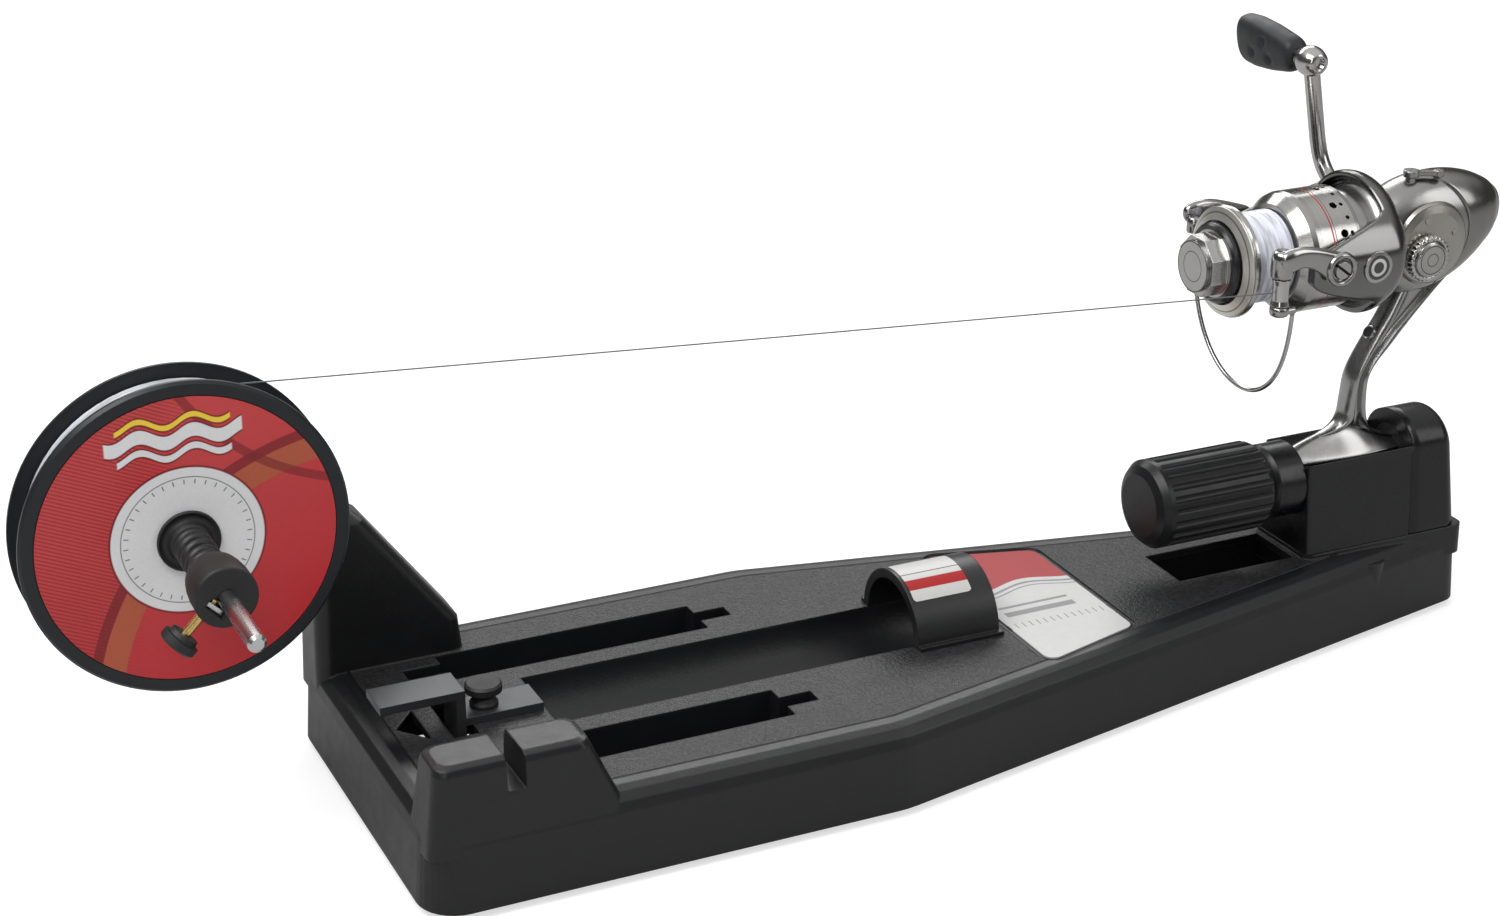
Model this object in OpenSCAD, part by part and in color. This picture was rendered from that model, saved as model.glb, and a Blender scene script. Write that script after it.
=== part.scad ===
// Portable line spooling station, loaded with a filler spool and a spinning reel.
// X runs along the base from its wide end to the reel seat, Y to the back, Z up.

/* [Base] */
// Length of the base
base_len = 450; // [430:1:480]
// Width of the base at its wide end
base_w = 147.5; // [144:0.5:165]
// Width of the base at its seat end
base_end_w = 38; // [37:0.5:50]
// Length of the straight sides, from the wide end
kink_x = 168; // [160:1:180]
// Height of the deck above the bottom edge
deck_h = 30; // [29:0.5:36]
// Wall thickness of the moulding
wall = 3; // [2.4:0.1:3.4]
// Radius of the rim between deck and sides
rim_r = 7; // [5:0.5:8]
// How far the sides lean in from the bottom edge to the rim
draft = 1.5; // [1:0.1:2]
// Height of the rubber feet below the bottom edge
foot_h = 3; // [2:0.5:5]
// Radius of a rubber foot
foot_r = 7; // [5:0.5:8]

/* [End blocks] */
// Height of the front block above the bottom edge
block_h = 51.5; // [46:0.5:56]
// Width of the open slot across the front block
slot_w = 6.4; // [6.2:0.1:8]
// Depth of the open slot
slot_depth = 12; // [8:0.5:14]
// Height of the back post above the bottom edge
post_h = 88; // [80:1:100]

/* [Deck wells] */
// Half width of the rod trough
trough_r = 18; // [15:0.5:19]
// Start of the trough
trough_x0 = 66; // [64:1:80]
// Length of the trough, the arch included
trough_len = 170; // [150:1:171]
// Length of a storage pocket
pocket_len = 98; // [80:1:110]
// Width of a storage pocket
pocket_w = 19.5; // [14:0.5:19.5]
// Depth of a storage pocket
pocket_depth = 18; // [10:0.5:20]
// Width of the narrow ends of a storage pocket
pocket_neck_w = 7; // [5:0.5:9]

/* [Rod arch] */
// Length of the arch
arch_len = 33; // [26:1:40]
// Wall of the arch
arch_wall = 3.5; // [2.5:0.1:5]

/* [Clamp plate] */
// Width of the clamp plate
plate_w = 15; // [12:0.5:16]
// Thickness of the clamp plate
plate_t = 3; // [2:0.1:4]
// Height of the raised lip above the flat end
lip_rise = 10.5; // [8:0.5:14]
// Radius of the plate's thumb screw head
thumb_r = 6.5; // [5:0.1:7]

/* [Spool arm] */
// Diameter of the bent steel rod
rod_d = 6; // [5:0.1:6]
// Distance of the axle from the wide end of the base
axle_out = 48; // [46:0.5:56]
// Height of the axle above the bottom edge
axle_h = 108.5; // [106:0.5:125]
// Bend radius of the rod
bend_r = 12; // [9:0.5:16]
// Length of rod in front of the filler spool
axle_front = 82; // [78:1:95]

/* [Filler spool] */
// Radius of the flanges
flange_r = 54; // [50:0.5:55]
// Width over the flanges
spool_w = 20; // [17:0.5:24]
// Thickness of a flange
flange_t = 2.2; // [1.6:0.1:3]
// Radius of the wound line
wound_r = 47.5; // [40:0.5:48]
// Turns drawn in the outer layer
filler_turns = 10; // [6:1:10]

/* [Tensioner] */
// Radius of the pressure disc
disc_r = 9.25; // [8.5:0.05:12]
// Length of the spring between disc and collar
spring_len = 18; // [15:0.5:20]
// Mean radius of the spring
spring_r = 5.4; // [5:0.1:6.5]
// Wire diameter of the spring
spring_wire = 2.2; // [1.6:0.1:2.4]
// Curls of the spring
spring_curls = 4; // [3:1:4]
// Length of the locking collar
collar_len = 26; // [22:0.5:28]
// Radius of the locking collar at its wide end
collar_r = 10.2; // [9.6:0.1:13]

/* [Reel seat] */
// Length of the seat tower
seat_len = 75; // [70:0.5:80]
// Width of the seat tower
seat_w = 35; // [32:0.5:36]
// Height of the saddle above the bottom edge
saddle_h = 63; // [58:0.5:70]
// Length of the fixed hood
hood_len = 26; // [22:0.5:30]
// Radius of the clamp knob
knob_r = 17; // [14:0.5:19]
// Length of the clamp knob
knob_len = 52; // [44:0.5:56]
// Flutes round the clamp knob
knob_flutes = 22; // [16:1:26]
// Length of the sliding hood
slide_len = 13.5; // [11:0.5:16]
// Outer radius of the sliding hood
slide_r = 14.5; // [14:0.1:16]

/* [Reel] */
// Height of the reel's spool axis above the bottom edge
reel_h = 151; // [148:0.5:160]
// Length of the reel foot
foot_len = 70; // [66:0.5:74]
// Width of the reel foot
foot_w = 16; // [14:0.5:17]
// Radius of the spool lip
lip_r = 21; // [20:0.1:22.5]
// Radius of the spool skirt
skirt_r = 22.8; // [21.5:0.1:23]
// Radius of the line wound on the reel
reel_wound_r = 17; // [15:0.1:18]
// Width of the line wound on the reel
reel_wound_w = 17; // [16:0.1:18]
// Turns drawn in the reel's outer layer
reel_turns = 11; // [6:1:11]
// Outer radius of the rotor rim
rotor_r = 27; // [26.4:0.1:29]
// Radius of the gear case
case_r = 23; // [22:0.5:25]
// Length of the crank arm, axis to axis
crank_len = 62; // [54:1:66]
// Length of the crank grip
grip_len = 40; // [34:1:44]
// Distance of the bail wire's lowest point below its ends
bail_drop = 44; // [38:1:46]

/* [Line] */
// Thickness drawn for the line
line_d = 0.4; // [0.3:0.05:0.6]

/* [Hidden] */
$fn = 64;
// Clearances: seated pieces, running fits and parts that pass each other
seat_gap = 0.05;
run_gap = 0.06;
free_gap = 0.3;
// Sides used for the corners of hulls, and the thickness of their slices
hull_fn = 32;
slice_h = 0.01;
cut = 1;
// Rings drawn in one turn of wound line, and in one curl of the spring
turn_rings = 24;
curl_rings = 8;

// Base
corner_r = 14;
kink_r = 40;
end_r = 10;
foot_seat = 1.5;
foot_places = [for (side = [-1, 1]) for (p = [[70, base_w / 2 - 14], [base_len - 50, 17]]) [p[0], side * p[1]]];
block_x1 = 58;
block_foot_x1 = 69;
block_y = base_w / 2 - 23.5;
slot_x = 32;
post_y0 = base_w / 2 - 27;
post_y1 = base_w / 2;
pocket_x0 = 44;
pocket_y = 36.5;
pocket_floor = deck_h - pocket_depth;
neck_x0 = 30;
neck_x1 = pocket_x0 + pocket_len + 12;
trough_x1 = trough_x0 + trough_len;
finger_x0 = 320;
finger_w = 24;
tri_x0 = 14.5;
tri_x1 = 23.4;
tri_w = 22;
square_x0 = 30.5;
square_x1 = 39.5;
square_w = 27;
label_x0 = 240;
label_x1 = 286;
label_y0 = 48.5;
label_y1 = 38.8;
label_depth = 0.8;
label_edge = 2;
label_corner = 6;

// Clamp plate
plate_z = deck_h;
lip_x0 = 7;
web_x0 = square_x0 + 3.5;
web_x1 = web_x0 + plate_t;
plate_x1 = trough_x0 - 1;
thumb_x = 46;
thumb_shank_r = 2.5;
thumb_depth = 14;

// Spool arm and filler spool
rod_r = rod_d / 2;
axle_x = -axle_out;
spool_y = 20;
spool_y0 = spool_y - spool_w / 2;
spool_y1 = spool_y + spool_w / 2;
arm_y = (post_y0 + post_y1) / 2;
arm_foot_x = 11;
arm_foot_z = post_h - 36;
axle_tip_y = spool_y0 - axle_front;
hub_r = 24;
spigot_r = 6.4;
spigot_len = 4;
stop_t = 4;
wound_gap = 0.6;
filler_line_d = 0.9;
filler_core_r = (wound_r - filler_line_d / 2) * cos(180 / turn_rings) - filler_line_d / 2 - 0.1;
wound_y0 = spool_y0 + flange_t + wound_gap;
wound_y1 = spool_y1 - flange_t - wound_gap;
label_r = flange_r - 5;
paper_t = 0.4;

// Tensioner, from the filler spool towards the tip of the rod
disc_t = 3;
disc_y0 = spool_y0 - free_gap - disc_t;
spring_y0 = disc_y0 - spring_len;
collar_y1 = spring_y0;
collar_y0 = collar_y1 - collar_len;
screw_y = collar_y0 + 6;
screw_turn = 225;
screw_r = 1.5;
nut_in = 4.4;
nut_t = 1.6;
nut_w = 7;
head_out = 17.5;
head_t = 5;
head_r = 6.2;

// Reel seat
seat_x1 = base_len - draft;
seat_x0 = seat_x1 - seat_len;
seat_z0 = deck_h + 2;
plinth_z = deck_h - rim_r - 3;
hood_x0 = seat_x1 - hood_len;
hood_z = saddle_h - 1;
hood_r = seat_w / 2;
saddle_r = 30;
stud_r = 3;
stud_z = saddle_h - 4.4;
stud_in = 14;
slide_x1 = seat_x0 - free_gap;
slide_x0 = slide_x1 - slide_len;
slide_pocket_r = 11.8;
slide_pocket = 10.5;
knob_x1 = slide_x0 - free_gap;
knob_x0 = knob_x1 - knob_len;
knob_blind = 17;
stud_x0 = knob_x0 + knob_blind + 2;
screw_places = [seat_x0 + 14, seat_x1 - 16];

// Reel datum: the front tip of its foot under the sliding hood
reel_x = seat_x0 - 9.5;
foot_z = saddle_h + 1.4;
foot_t = 4;
foot_x1 = reel_x + foot_len;
front_x = reel_x - 29;
lip_t = 6;
wound_x0 = front_x + lip_t;
wound_x1 = wound_x0 + reel_wound_w;
skirt_x1 = wound_x1 + 25;
reel_line_d = 0.9;
reel_core_r = (reel_wound_r - reel_line_d / 2) * cos(180 / turn_rings) - reel_line_d / 2 - 0.1;
shaft_r = 1.8;
drag_x0 = front_x - 11;
drag_r = 15;
rotor_x0 = skirt_x1 + 1;
rotor_x1 = rotor_x0 + 19;
arm_x0 = rotor_x0 - 33;
arm_r0 = skirt_r + 1.2;
arm_r1 = rotor_r + 2;
arm_half = 9;
pivot_x = reel_x + 2;
pivot_z = reel_h + 3;
pivot_pin_r = 2;
lever_y0 = arm_r1 + free_gap;
lever_t = 3.4;
lever_y1 = lever_y0 + lever_t;
roller_x = reel_x - 21;
roller_y = lever_y0 - 0.8;
roller_z0 = reel_h - 8.4;
roller_len = 10;
roller_z1 = roller_z0 + roller_len;
roller_r = 3;
roller_pin_r = 1.2;
tip_z = reel_h + 8;
tip_r = 4.4;
knuckle_r = 4.1;
bracket_z = roller_z0 - 4.2;
bracket_len = 6;
bracket_r = 1.6;
wire_r = 0.8;
bail_reach = 1.8;
crank_x = rotor_x1 + 14;
shaft_x1 = crank_x + 10;
crank_z = reel_h - 4.5;
crank_r = 2.2;
case_x = crank_x + 4;
case_z = crank_z + 4.5;
case_y = 13;
case_x0 = rotor_x1 + 1;
cover_t = 2.2;
cover_r = 16.2;
cap_t = 5;
cover_screw_r = 10.2;
boss_r = 9;
boss_y = 24;
room_x = crank_x + 2;
room_z = crank_z + 2;
room_r = 12.6;
lip_in = 1.2;
lever_at = [crank_x, -3];
lever_len = 10.5;
lever_lean = 22;
seam_x = crank_x - 1;
seam_z = crank_z + 6.5;
seam_r = 23;
tail_x = crank_x + 30;
tail_z = reel_h + 5;
tail_r = 12.5;
throat_x0 = rotor_x1 - 9;
throat_r = 8;
tube_r = 3;
bearing_w = 5;
stem_top = [crank_x + 8.5, crank_z - 18];
stem_mid = [reel_x + 38.2, foot_z + 0.47 * (stem_top[1] - foot_z)];
stem_low = [reel_x + 37.6, foot_z + 19.6];
stem_foot = [reel_x + 38.5, foot_z + foot_t];
stem_lean = atan2(stem_top[0] - stem_mid[0], stem_top[1] - stem_mid[1]);
stem_hole = stem_top + (stem_mid - stem_top) * 0.48;
stem_t = 11;
gear_r = 8;
gear_teeth = 40;
pinion_teeth = 8;
pinion_r = 4;
tooth_h = 1.4;
gear_t = 3;
arm_rod_r = 3.2;
hub_y = boss_y + 2;
crank_tilt = 11;
elbow_y = hub_y + 6;
grip_y = elbow_y + 16;
grip_pin_r = 2.2;

// Shared shapes

// Round bars along one axis, between two stations
module bar_x(x0, x1, y, z, r) translate([x0, y, z]) rotate([0, 90, 0]) cylinder(h = x1 - x0, r = r);
module bar_y(y0, y1, x, z, r) translate([x, y1, z]) rotate([90, 0, 0]) cylinder(h = y1 - y0, r = r);
module bar_z(z0, z1, x, y, r) translate([x, y, z0]) cylinder(h = z1 - z0, r = r);

// A box between two corners
module box(a, b) translate(a) cube(b - a);

// Flat link: two circles and the straight sides that touch both
module link_plan(a, ra, b, rb) {
  d = b - a;
  lean = atan2(d[1], d[0]);
  open = acos((ra - rb) / norm(d));
  translate(a) circle(r = ra);
  translate(b) circle(r = rb);
  polygon([a + ra * [cos(lean + open), sin(lean + open)], a + ra * [cos(lean - open), sin(lean - open)],
    b + rb * [cos(lean - open), sin(lean - open)], b + rb * [cos(lean + open), sin(lean + open)]]);
}

// A profile of [station, radius] points turned about the X axis at height z
module turned_x(points, z) translate([0, 0, z]) rotate([90, 0, 90]) rotate_extrude() swap(points);

// A profile of [station, radius] points turned about the axle's Y axis
module turned_y(points, x, z) translate([x, 0, z]) rotate([-90, 0, 0]) rotate_extrude() swap(points);
module swap(points) polygon([for (p = points) [p[1], p[0]]]);

// A tube along a list of points: rings of the given sides, square to the path, closed at both ends
function unit(v) = v / norm(v);
function tangent(path, i) = unit(path[min(i + 1, len(path) - 1)] - path[max(i - 1, 0)]);
function ring(c, t, r, sides, up) = let (u = unit(cross(up, t)), v = cross(t, u))
  [for (k = [0:sides - 1]) c + r * (cos(360 * k / sides) * u + sin(360 * k / sides) * v)];
module tube(path, r, sides, up) {
  n = len(path);
  points = [for (i = [0:n - 1]) each ring(path[i], tangent(path, i), r, sides, up)];
  walls = [for (i = [0:n - 2]) for (k = [0:sides - 1]) let (a = i * sides + k, b = i * sides + (k + 1) % sides)
    each [[a, b, a + sides], [b, b + sides, a + sides]]];
  caps = [for (k = [1:sides - 2]) each [[0, k + 1, k], [(n - 1) * sides, (n - 1) * sides + k, (n - 1) * sides + k + 1]]];
  polyhedron(points = points, faces = [for (f = concat(walls, caps)) [f[0], f[2], f[1]]], convexity = 10);
}

// A helix about the Y axis: radius, first and last station, turns and rings in a turn
function helix_y(r, y0, y1, turns, rings) = [for (i = [0:turns * rings]) let (a = 360 * i / rings)
  [r * cos(a), y0 + (y1 - y0) * i / (turns * rings), r * sin(a)]];
// The least distance between points one turn apart
function turn_step(path, rings) = min([for (i = [0:len(path) - 1 - rings]) norm(path[i + rings] - path[i])]);

// Station

// One level of the base's rounded outline
module base_slice(z, inset) {
  for (side = [-1, 1]) {
    translate([corner_r, side * (base_w / 2 - corner_r), z])
      cylinder(h = slice_h, r = corner_r - inset, $fn = hull_fn);
    translate([kink_x, side * (base_w / 2 - kink_r), z])
      cylinder(h = slice_h, r = kink_r - inset, $fn = hull_fn * 2);
    translate([base_len - end_r, side * (base_end_w / 2 - end_r), z])
      cylinder(h = slice_h, r = end_r - inset, $fn = hull_fn);
  }
}

// Drafted sides with a quarter-round rim
module base_mass() hull() {
  base_slice(0, 0);
  for (a = [0, 30, 60, 90])
    base_slice(deck_h - rim_r * (1 - sin(a)) - slice_h, draft + rim_r * (1 - cos(a)));
}

module base_hollow() hull() {
  base_slice(-cut, wall);
  base_slice(deck_h - rim_r, wall + draft);
  base_slice(deck_h - wall - slice_h, wall + rim_r - 1);
}

// One level of a block: a rectangle with rounded corners
module block_slice(z, x0, x1, y0, y1, r) {
  for (x = [x0 + r, x1 - r])
    for (y = [y0 + r, y1 - r])
      translate([x, y, z]) cylinder(h = slice_h, r = r, $fn = hull_fn);
}

// Low block with a leaning end, at the front corner
module front_block() {
  edge = 3;
  hull() {
    block_slice(deck_h - rim_r - 3, draft, block_foot_x1 + 3, -base_w / 2 + draft, -block_y + 3.5, 5);
    block_slice(block_h - edge, 5, block_x1 + 1, -base_w / 2 + 3.5, -block_y, 5);
    block_slice(block_h - edge * 0.3, 5.6, block_x1, -base_w / 2 + 4.2, -block_y - 0.8, 5);
    block_slice(block_h - slice_h, 5 + edge, block_x1 - edge + 1, -base_w / 2 + 3.5 + edge, -block_y - edge, 4);
  }
}

// Tall post with a sloping end, at the back corner, which holds the spool arm
module back_post() {
  edge = 3;
  top_x1 = arm_foot_x + 11;
  hull() {
    block_slice(deck_h - rim_r - 3, draft, 57, post_y0, post_y1 - draft, 5);
    block_slice(deck_h + 12, 2.2, 55, post_y0 + 1, post_y1 - 2.2, 5);
    block_slice(post_h - edge, 4, top_x1 + 1, post_y0 + 3, post_y1 - 3.8, 5);
    block_slice(post_h - slice_h, 4 + edge, top_x1 - edge, post_y0 + 3 + edge, post_y1 - 3.8 - edge, 4);
  }
}

// Squared-off end of the base, under the seat tower
module seat_plinth() hull() {
  block_slice(plinth_z, seat_x0 - 1, seat_x1 + 0.6, -seat_w / 2 - 0.4, seat_w / 2 + 0.4, 5);
  block_slice(seat_z0 - slice_h, seat_x0, seat_x1, -seat_w / 2, seat_w / 2, 4);
}

// Storage pocket outline with narrow ends, grown by a wall
module pocket_plan(grow) {
  translate([pocket_x0 - grow, pocket_y - pocket_w / 2 - grow])
    square([pocket_len + 2 * grow, pocket_w + 2 * grow]);
  translate([neck_x0 - grow, pocket_y - pocket_neck_w / 2 - grow])
    square([neck_x1 - neck_x0 + 2 * grow, pocket_neck_w + 2 * grow]);
}

// Label field, narrowing with the base
module label_plan(inset) hull() {
  for (side = [-1, 1]) {
    translate([label_x0 + label_corner, side * (label_y0 - label_corner)])
      circle(r = label_corner - inset, $fn = hull_fn);
    translate([label_x1 - label_corner, side * (label_y1 - label_corner)])
      circle(r = label_corner - inset, $fn = hull_fn);
  }
}

module base_shell() color("#26282a") difference() {
  union() {
    difference() {
      base_mass();
      base_hollow();
    }
    front_block();
    back_post();
    seat_plinth();
    for (side = [0, 1])
      mirror([0, side, 0])
        translate([0, 0, pocket_floor - wall]) linear_extrude(pocket_depth) pocket_plan(wall);
    intersection() {
      bar_x(trough_x0 - wall, trough_x1 + wall, 0, deck_h, trough_r + wall);
      box([trough_x0 - wall, -base_w / 2, 0], [trough_x1 + wall, base_w / 2, deck_h - 1]);
    }
    for (p = foot_places)
      bar_z(0, deck_h - wall, p[0], p[1], foot_r + 2);
    bar_z(deck_h - thumb_depth - 4, deck_h - 1, thumb_x, 0, thumb_shank_r + 3);
  }
  for (side = [0, 1])
    mirror([0, side, 0])
      translate([0, 0, pocket_floor]) linear_extrude(pocket_depth + cut) pocket_plan(0);
  bar_x(trough_x0, trough_x1, 0, deck_h, trough_r);
  box([finger_x0, -finger_w / 2, -cut], [seat_x0 - 2, finger_w / 2, deck_h + cut]);
  translate([0, 0, deck_h - wall - cut])
    linear_extrude(wall + 2 * cut)
      polygon([[tri_x0, 0], [tri_x1, tri_w / 2], [tri_x1, -tri_w / 2]]);
  box([square_x0, -square_w / 2, -cut], [square_x1, square_w / 2, deck_h + cut]);
  translate([0, 0, deck_h - label_depth]) linear_extrude(label_depth + cut) label_plan(0);
  box([slot_x - slot_w / 2, -base_w, block_h - slot_depth], [slot_x + slot_w / 2, -block_y + 6, block_h + cut]);
  bar_z(arm_foot_z, post_h + cut, arm_foot_x, arm_y, rod_r + seat_gap);
  bar_z(deck_h - thumb_depth, deck_h + cut, thumb_x, 0, thumb_shank_r + run_gap);
  for (x = screw_places)
    bar_z(-cut, seat_z0 + cut, x, 0, 2 + seat_gap);
  for (p = foot_places)
    bar_z(-cut, foot_seat, p[0], p[1], foot_r + seat_gap);
}

module feet() color("#1b1b1b") for (p = foot_places)
  translate([p[0], p[1], -foot_h]) rotate_extrude()
    polygon([[0, 0], [foot_r - 1, 0], [foot_r, 1], [foot_r, foot_h + foot_seat], [0, foot_h + foot_seat]]);

module info_label() color("#e9e9e7")
  translate([0, 0, deck_h - label_depth]) linear_extrude(label_depth - 0.2) label_plan(label_edge);

// Half tube that a rod handle passes under, with thin foot lips
module rod_arch() color("#26282a") {
  x1 = trough_x1;
  x0 = x1 - arch_len;
  outer = trough_r + arch_wall;
  difference() {
    union() {
      bar_x(x0, x1, 0, deck_h, outer);
      box([x0, -outer - 2, deck_h], [x1 + 1, outer + 2, deck_h + 1.5]);
    }
    bar_x(x0 - cut, x1 + 2 * cut, 0, deck_h, trough_r);
    box([x0 - cut, -2 * outer, deck_h - 2 * outer], [x1 + 2 * cut, 2 * outer, deck_h]);
  }
}

// Plate with a raised lip, a web that drops into the square hole and a flat end
module clamp_plate() color("#8d8f92") difference() {
  union() {
    box([web_x0, -plate_w / 2, plate_z], [plate_x1, plate_w / 2, plate_z + plate_t]);
    box([web_x0, -plate_w / 2, plate_z - 9], [web_x1, plate_w / 2, plate_z + lip_rise + plate_t]);
    box([lip_x0, -plate_w / 2, plate_z + lip_rise], [web_x1, plate_w / 2, plate_z + lip_rise + plate_t]);
  }
  bar_z(plate_z - cut, plate_z + plate_t + cut, thumb_x, 0, thumb_shank_r + free_gap);
}

// Mushroom-headed thumb screw
module clamp_screw() color("#1c1d1f") {
  z0 = plate_z + plate_t + 0.1;
  translate([thumb_x, 0, 0]) rotate_extrude() polygon([
    [0, deck_h - thumb_depth + cut], [thumb_shank_r, deck_h - thumb_depth + cut], [thumb_shank_r, z0],
    [5, z0], [5, z0 + 1], [3.6, z0 + 3], [4.4, z0 + 4.6], [thumb_r, z0 + 5.4], [thumb_r, z0 + 7.6],
    [thumb_r - 0.8, z0 + 8.4], [0, z0 + 8.4]]);
}

// Tower with a hollow saddle for the reel foot and a fixed hood at its end
module seat_tower() color("#1f2124") difference() {
  intersection() {
    translate([0, seat_w / 2, 0]) rotate([90, 0, 0]) linear_extrude(seat_w) union() {
      translate([seat_x0, seat_z0]) square([seat_len - 12, hood_z + hood_r - seat_z0]);
      translate([seat_x0, seat_z0]) square([seat_len, hood_z + hood_r - 12 - seat_z0]);
      translate([seat_x1 - 12, hood_z + hood_r - 12]) circle(r = 12);
    }
    union() {
      box([seat_x0 - cut, -seat_w / 2, seat_z0], [seat_x1 + cut, seat_w / 2, hood_z]);
      bar_x(seat_x0 - cut, seat_x1 + cut, 0, hood_z, hood_r);
    }
  }
  bar_x(seat_x0 - cut, hood_x0, 0, saddle_h + saddle_r, saddle_r);
  box([seat_x0 - cut, -seat_w, saddle_h + 7], [hood_x0, seat_w, saddle_h + 40]);
  intersection() {
    bar_x(hood_x0 - cut, foot_x1 + 2, 0, saddle_h - 0.5, foot_w / 2 + 1.6);
    box([hood_x0 - cut, -foot_w, foot_z - 0.4], [foot_x1 + 2, foot_w, saddle_h + 20]);
  }
  bar_x(seat_x0 - cut, seat_x0 + stud_in, 0, stud_z, stud_r + seat_gap);
  for (x = screw_places)
    bar_z(seat_z0 - cut, seat_z0 + 12, x, 0, 2 + seat_gap);
}

module seat_screws() color("#9a9c9e") for (x = screw_places) {
  bar_z(plinth_z - 1, seat_z0 + 11, x, 0, 2);
  bar_z(plinth_z - 3, plinth_z - 0.05, x, 0, 4);
}

module seat_stud() color("#a6a8aa") bar_x(stud_x0, seat_x0 + stud_in - 0.2, 0, stud_z, stud_r);

// Hood that slides over the front tip of the reel foot
module sliding_hood() color("#1b1d1f") difference() {
  turned_x([[slide_x0, 0], [slide_x0, slide_r - 2], [slide_x0 + 2, slide_r], [slide_x1, slide_r],
    [slide_x1, 0]], stud_z);
  bar_x(slide_x1 - slide_pocket, slide_x1 + cut, 0, stud_z, slide_pocket_r);
  bar_x(slide_x0 - cut, slide_x1, 0, stud_z, stud_r + run_gap);
}

// Fluted knob, closed at its outer end, that drives the sliding hood along the stud
module clamp_knob() color("#1d1f22") difference() {
  turned_x([[knob_x0, 0], [knob_x0, knob_r - 5], [knob_x0 + 1.5, knob_r - 2], [knob_x0 + 4, knob_r],
    [knob_x1 - 4, knob_r], [knob_x1 - 2, knob_r - 1], [knob_x1, slide_r - 1], [knob_x1, 0]], stud_z);
  for (i = [0:knob_flutes - 1])
    translate([0, 0, stud_z]) rotate([360 * i / knob_flutes, 0, 0])
      bar_x(knob_x0 + 6, knob_x1 + cut, 0, knob_r + 0.6, 1.5);
  bar_x(knob_x0 + knob_blind, knob_x1 + cut, 0, stud_z, stud_r + run_gap);
}

// Steel rod bent twice: foot in the post, reach across, axle through the filler spool
module spool_arm() color("#c9ccd0") {
  bar_z(arm_foot_z + free_gap, axle_h - bend_r, arm_foot_x, arm_y, rod_r);
  translate([arm_foot_x - bend_r, arm_y, axle_h - bend_r]) rotate([90, 0, 0])
    rotate_extrude(angle = 90) translate([bend_r, 0]) circle(r = rod_r);
  bar_x(axle_x + bend_r, arm_foot_x - bend_r, arm_y, axle_h, rod_r);
  translate([axle_x + bend_r, arm_y - bend_r, axle_h]) rotate([0, 0, 90])
    rotate_extrude(angle = 90) translate([bend_r, 0]) circle(r = rod_r);
  bar_y(axle_tip_y + 1, arm_y - bend_r, axle_x, axle_h, rod_r);
  turned_y([[axle_tip_y, 0], [axle_tip_y, rod_r - 1], [axle_tip_y + 1, rod_r], [axle_tip_y + 1, 0]],
    axle_x, axle_h);
}

// Fixed shoulder behind the filler spool, with a spigot that centres it
module back_stop() color("#202224") difference() {
  y = spool_y1 + free_gap;
  turned_y([[y - spigot_len, 0], [y - spigot_len, spigot_r], [y, spigot_r], [y, disc_r],
    [y + stop_t, disc_r], [y + stop_t, 0]], axle_x, axle_h);
  bar_y(y - spigot_len - cut, y + stop_t + cut, axle_x, axle_h, rod_r + seat_gap);
}

// Two flanges on a hollow hub, with a shallow ring for the front label
module filler_spool() color("#3b3f48") turned_y([
  [spool_y0, spigot_r + run_gap], [spool_y0, 12], [spool_y0 + paper_t, 12], [spool_y0 + paper_t, label_r + 0.3],
  [spool_y0, label_r + 0.3], [spool_y0, flange_r - 1], [spool_y0 + 1, flange_r],
  [spool_y0 + flange_t, flange_r], [spool_y0 + flange_t, hub_r],
  [spool_y1 - flange_t, hub_r], [spool_y1 - flange_t, flange_r], [spool_y1 - 1, flange_r],
  [spool_y1, flange_r - 1], [spool_y1, spigot_r + run_gap]], axle_x, axle_h);

module filler_label() color("#c0392f") turned_y([
  [spool_y0, 12.2], [spool_y0, label_r], [spool_y0 + paper_t - 0.05, label_r], [spool_y0 + paper_t - 0.05, 12.2]],
  axle_x, axle_h);

// Inner layers of line, and the outer layer as one unbroken tube
module filler_core() color("#e8ecef") turned_y([
  [wound_y0 - 0.3, hub_r + 0.05], [wound_y0 - 0.3, filler_core_r], [wound_y1 + 0.3, filler_core_r],
  [wound_y1 + 0.3, hub_r + 0.05]], axle_x, axle_h);
filler_path = helix_y(wound_r - filler_line_d / 2, wound_y0 + filler_line_d / 2, wound_y1 - filler_line_d / 2,
  filler_turns, turn_rings);
module filler_winding() color("#f4f7f9") translate([axle_x, 0, axle_h])
  tube(filler_path, filler_line_d / 2, 6, [0, 1, 0]);

// Tensioner
module tension_disc() color("#191a1b") difference() {
  turned_y([[disc_y0, 0], [disc_y0, disc_r - 1.5], [disc_y0 + 1.5, disc_r], [disc_y0 + disc_t, disc_r],
    [disc_y0 + disc_t, spigot_r], [disc_y0 + disc_t + spigot_len, spigot_r], [disc_y0 + disc_t + spigot_len, 0]],
    axle_x, axle_h);
  bar_y(disc_y0 - cut, disc_y0 + disc_t + spigot_len + cut, axle_x, axle_h, rod_r + run_gap);
}

// Spring whose ends run straight, square to the disc and the collar
spring_flat = spring_wire;
spring_body = helix_y(spring_r, disc_y0 - spring_flat - free_gap, spring_y0 + spring_flat + free_gap, spring_curls, curl_rings);
spring_path = concat([[spring_r, disc_y0 - free_gap, 0]], spring_body, [[spring_r, spring_y0 + free_gap, 0]]);
module tension_spring() color("#1f2021") translate([axle_x, 0, axle_h])
  tube(spring_path, spring_wire / 2, 6, [0.3, 1, 0.2]);

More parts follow.
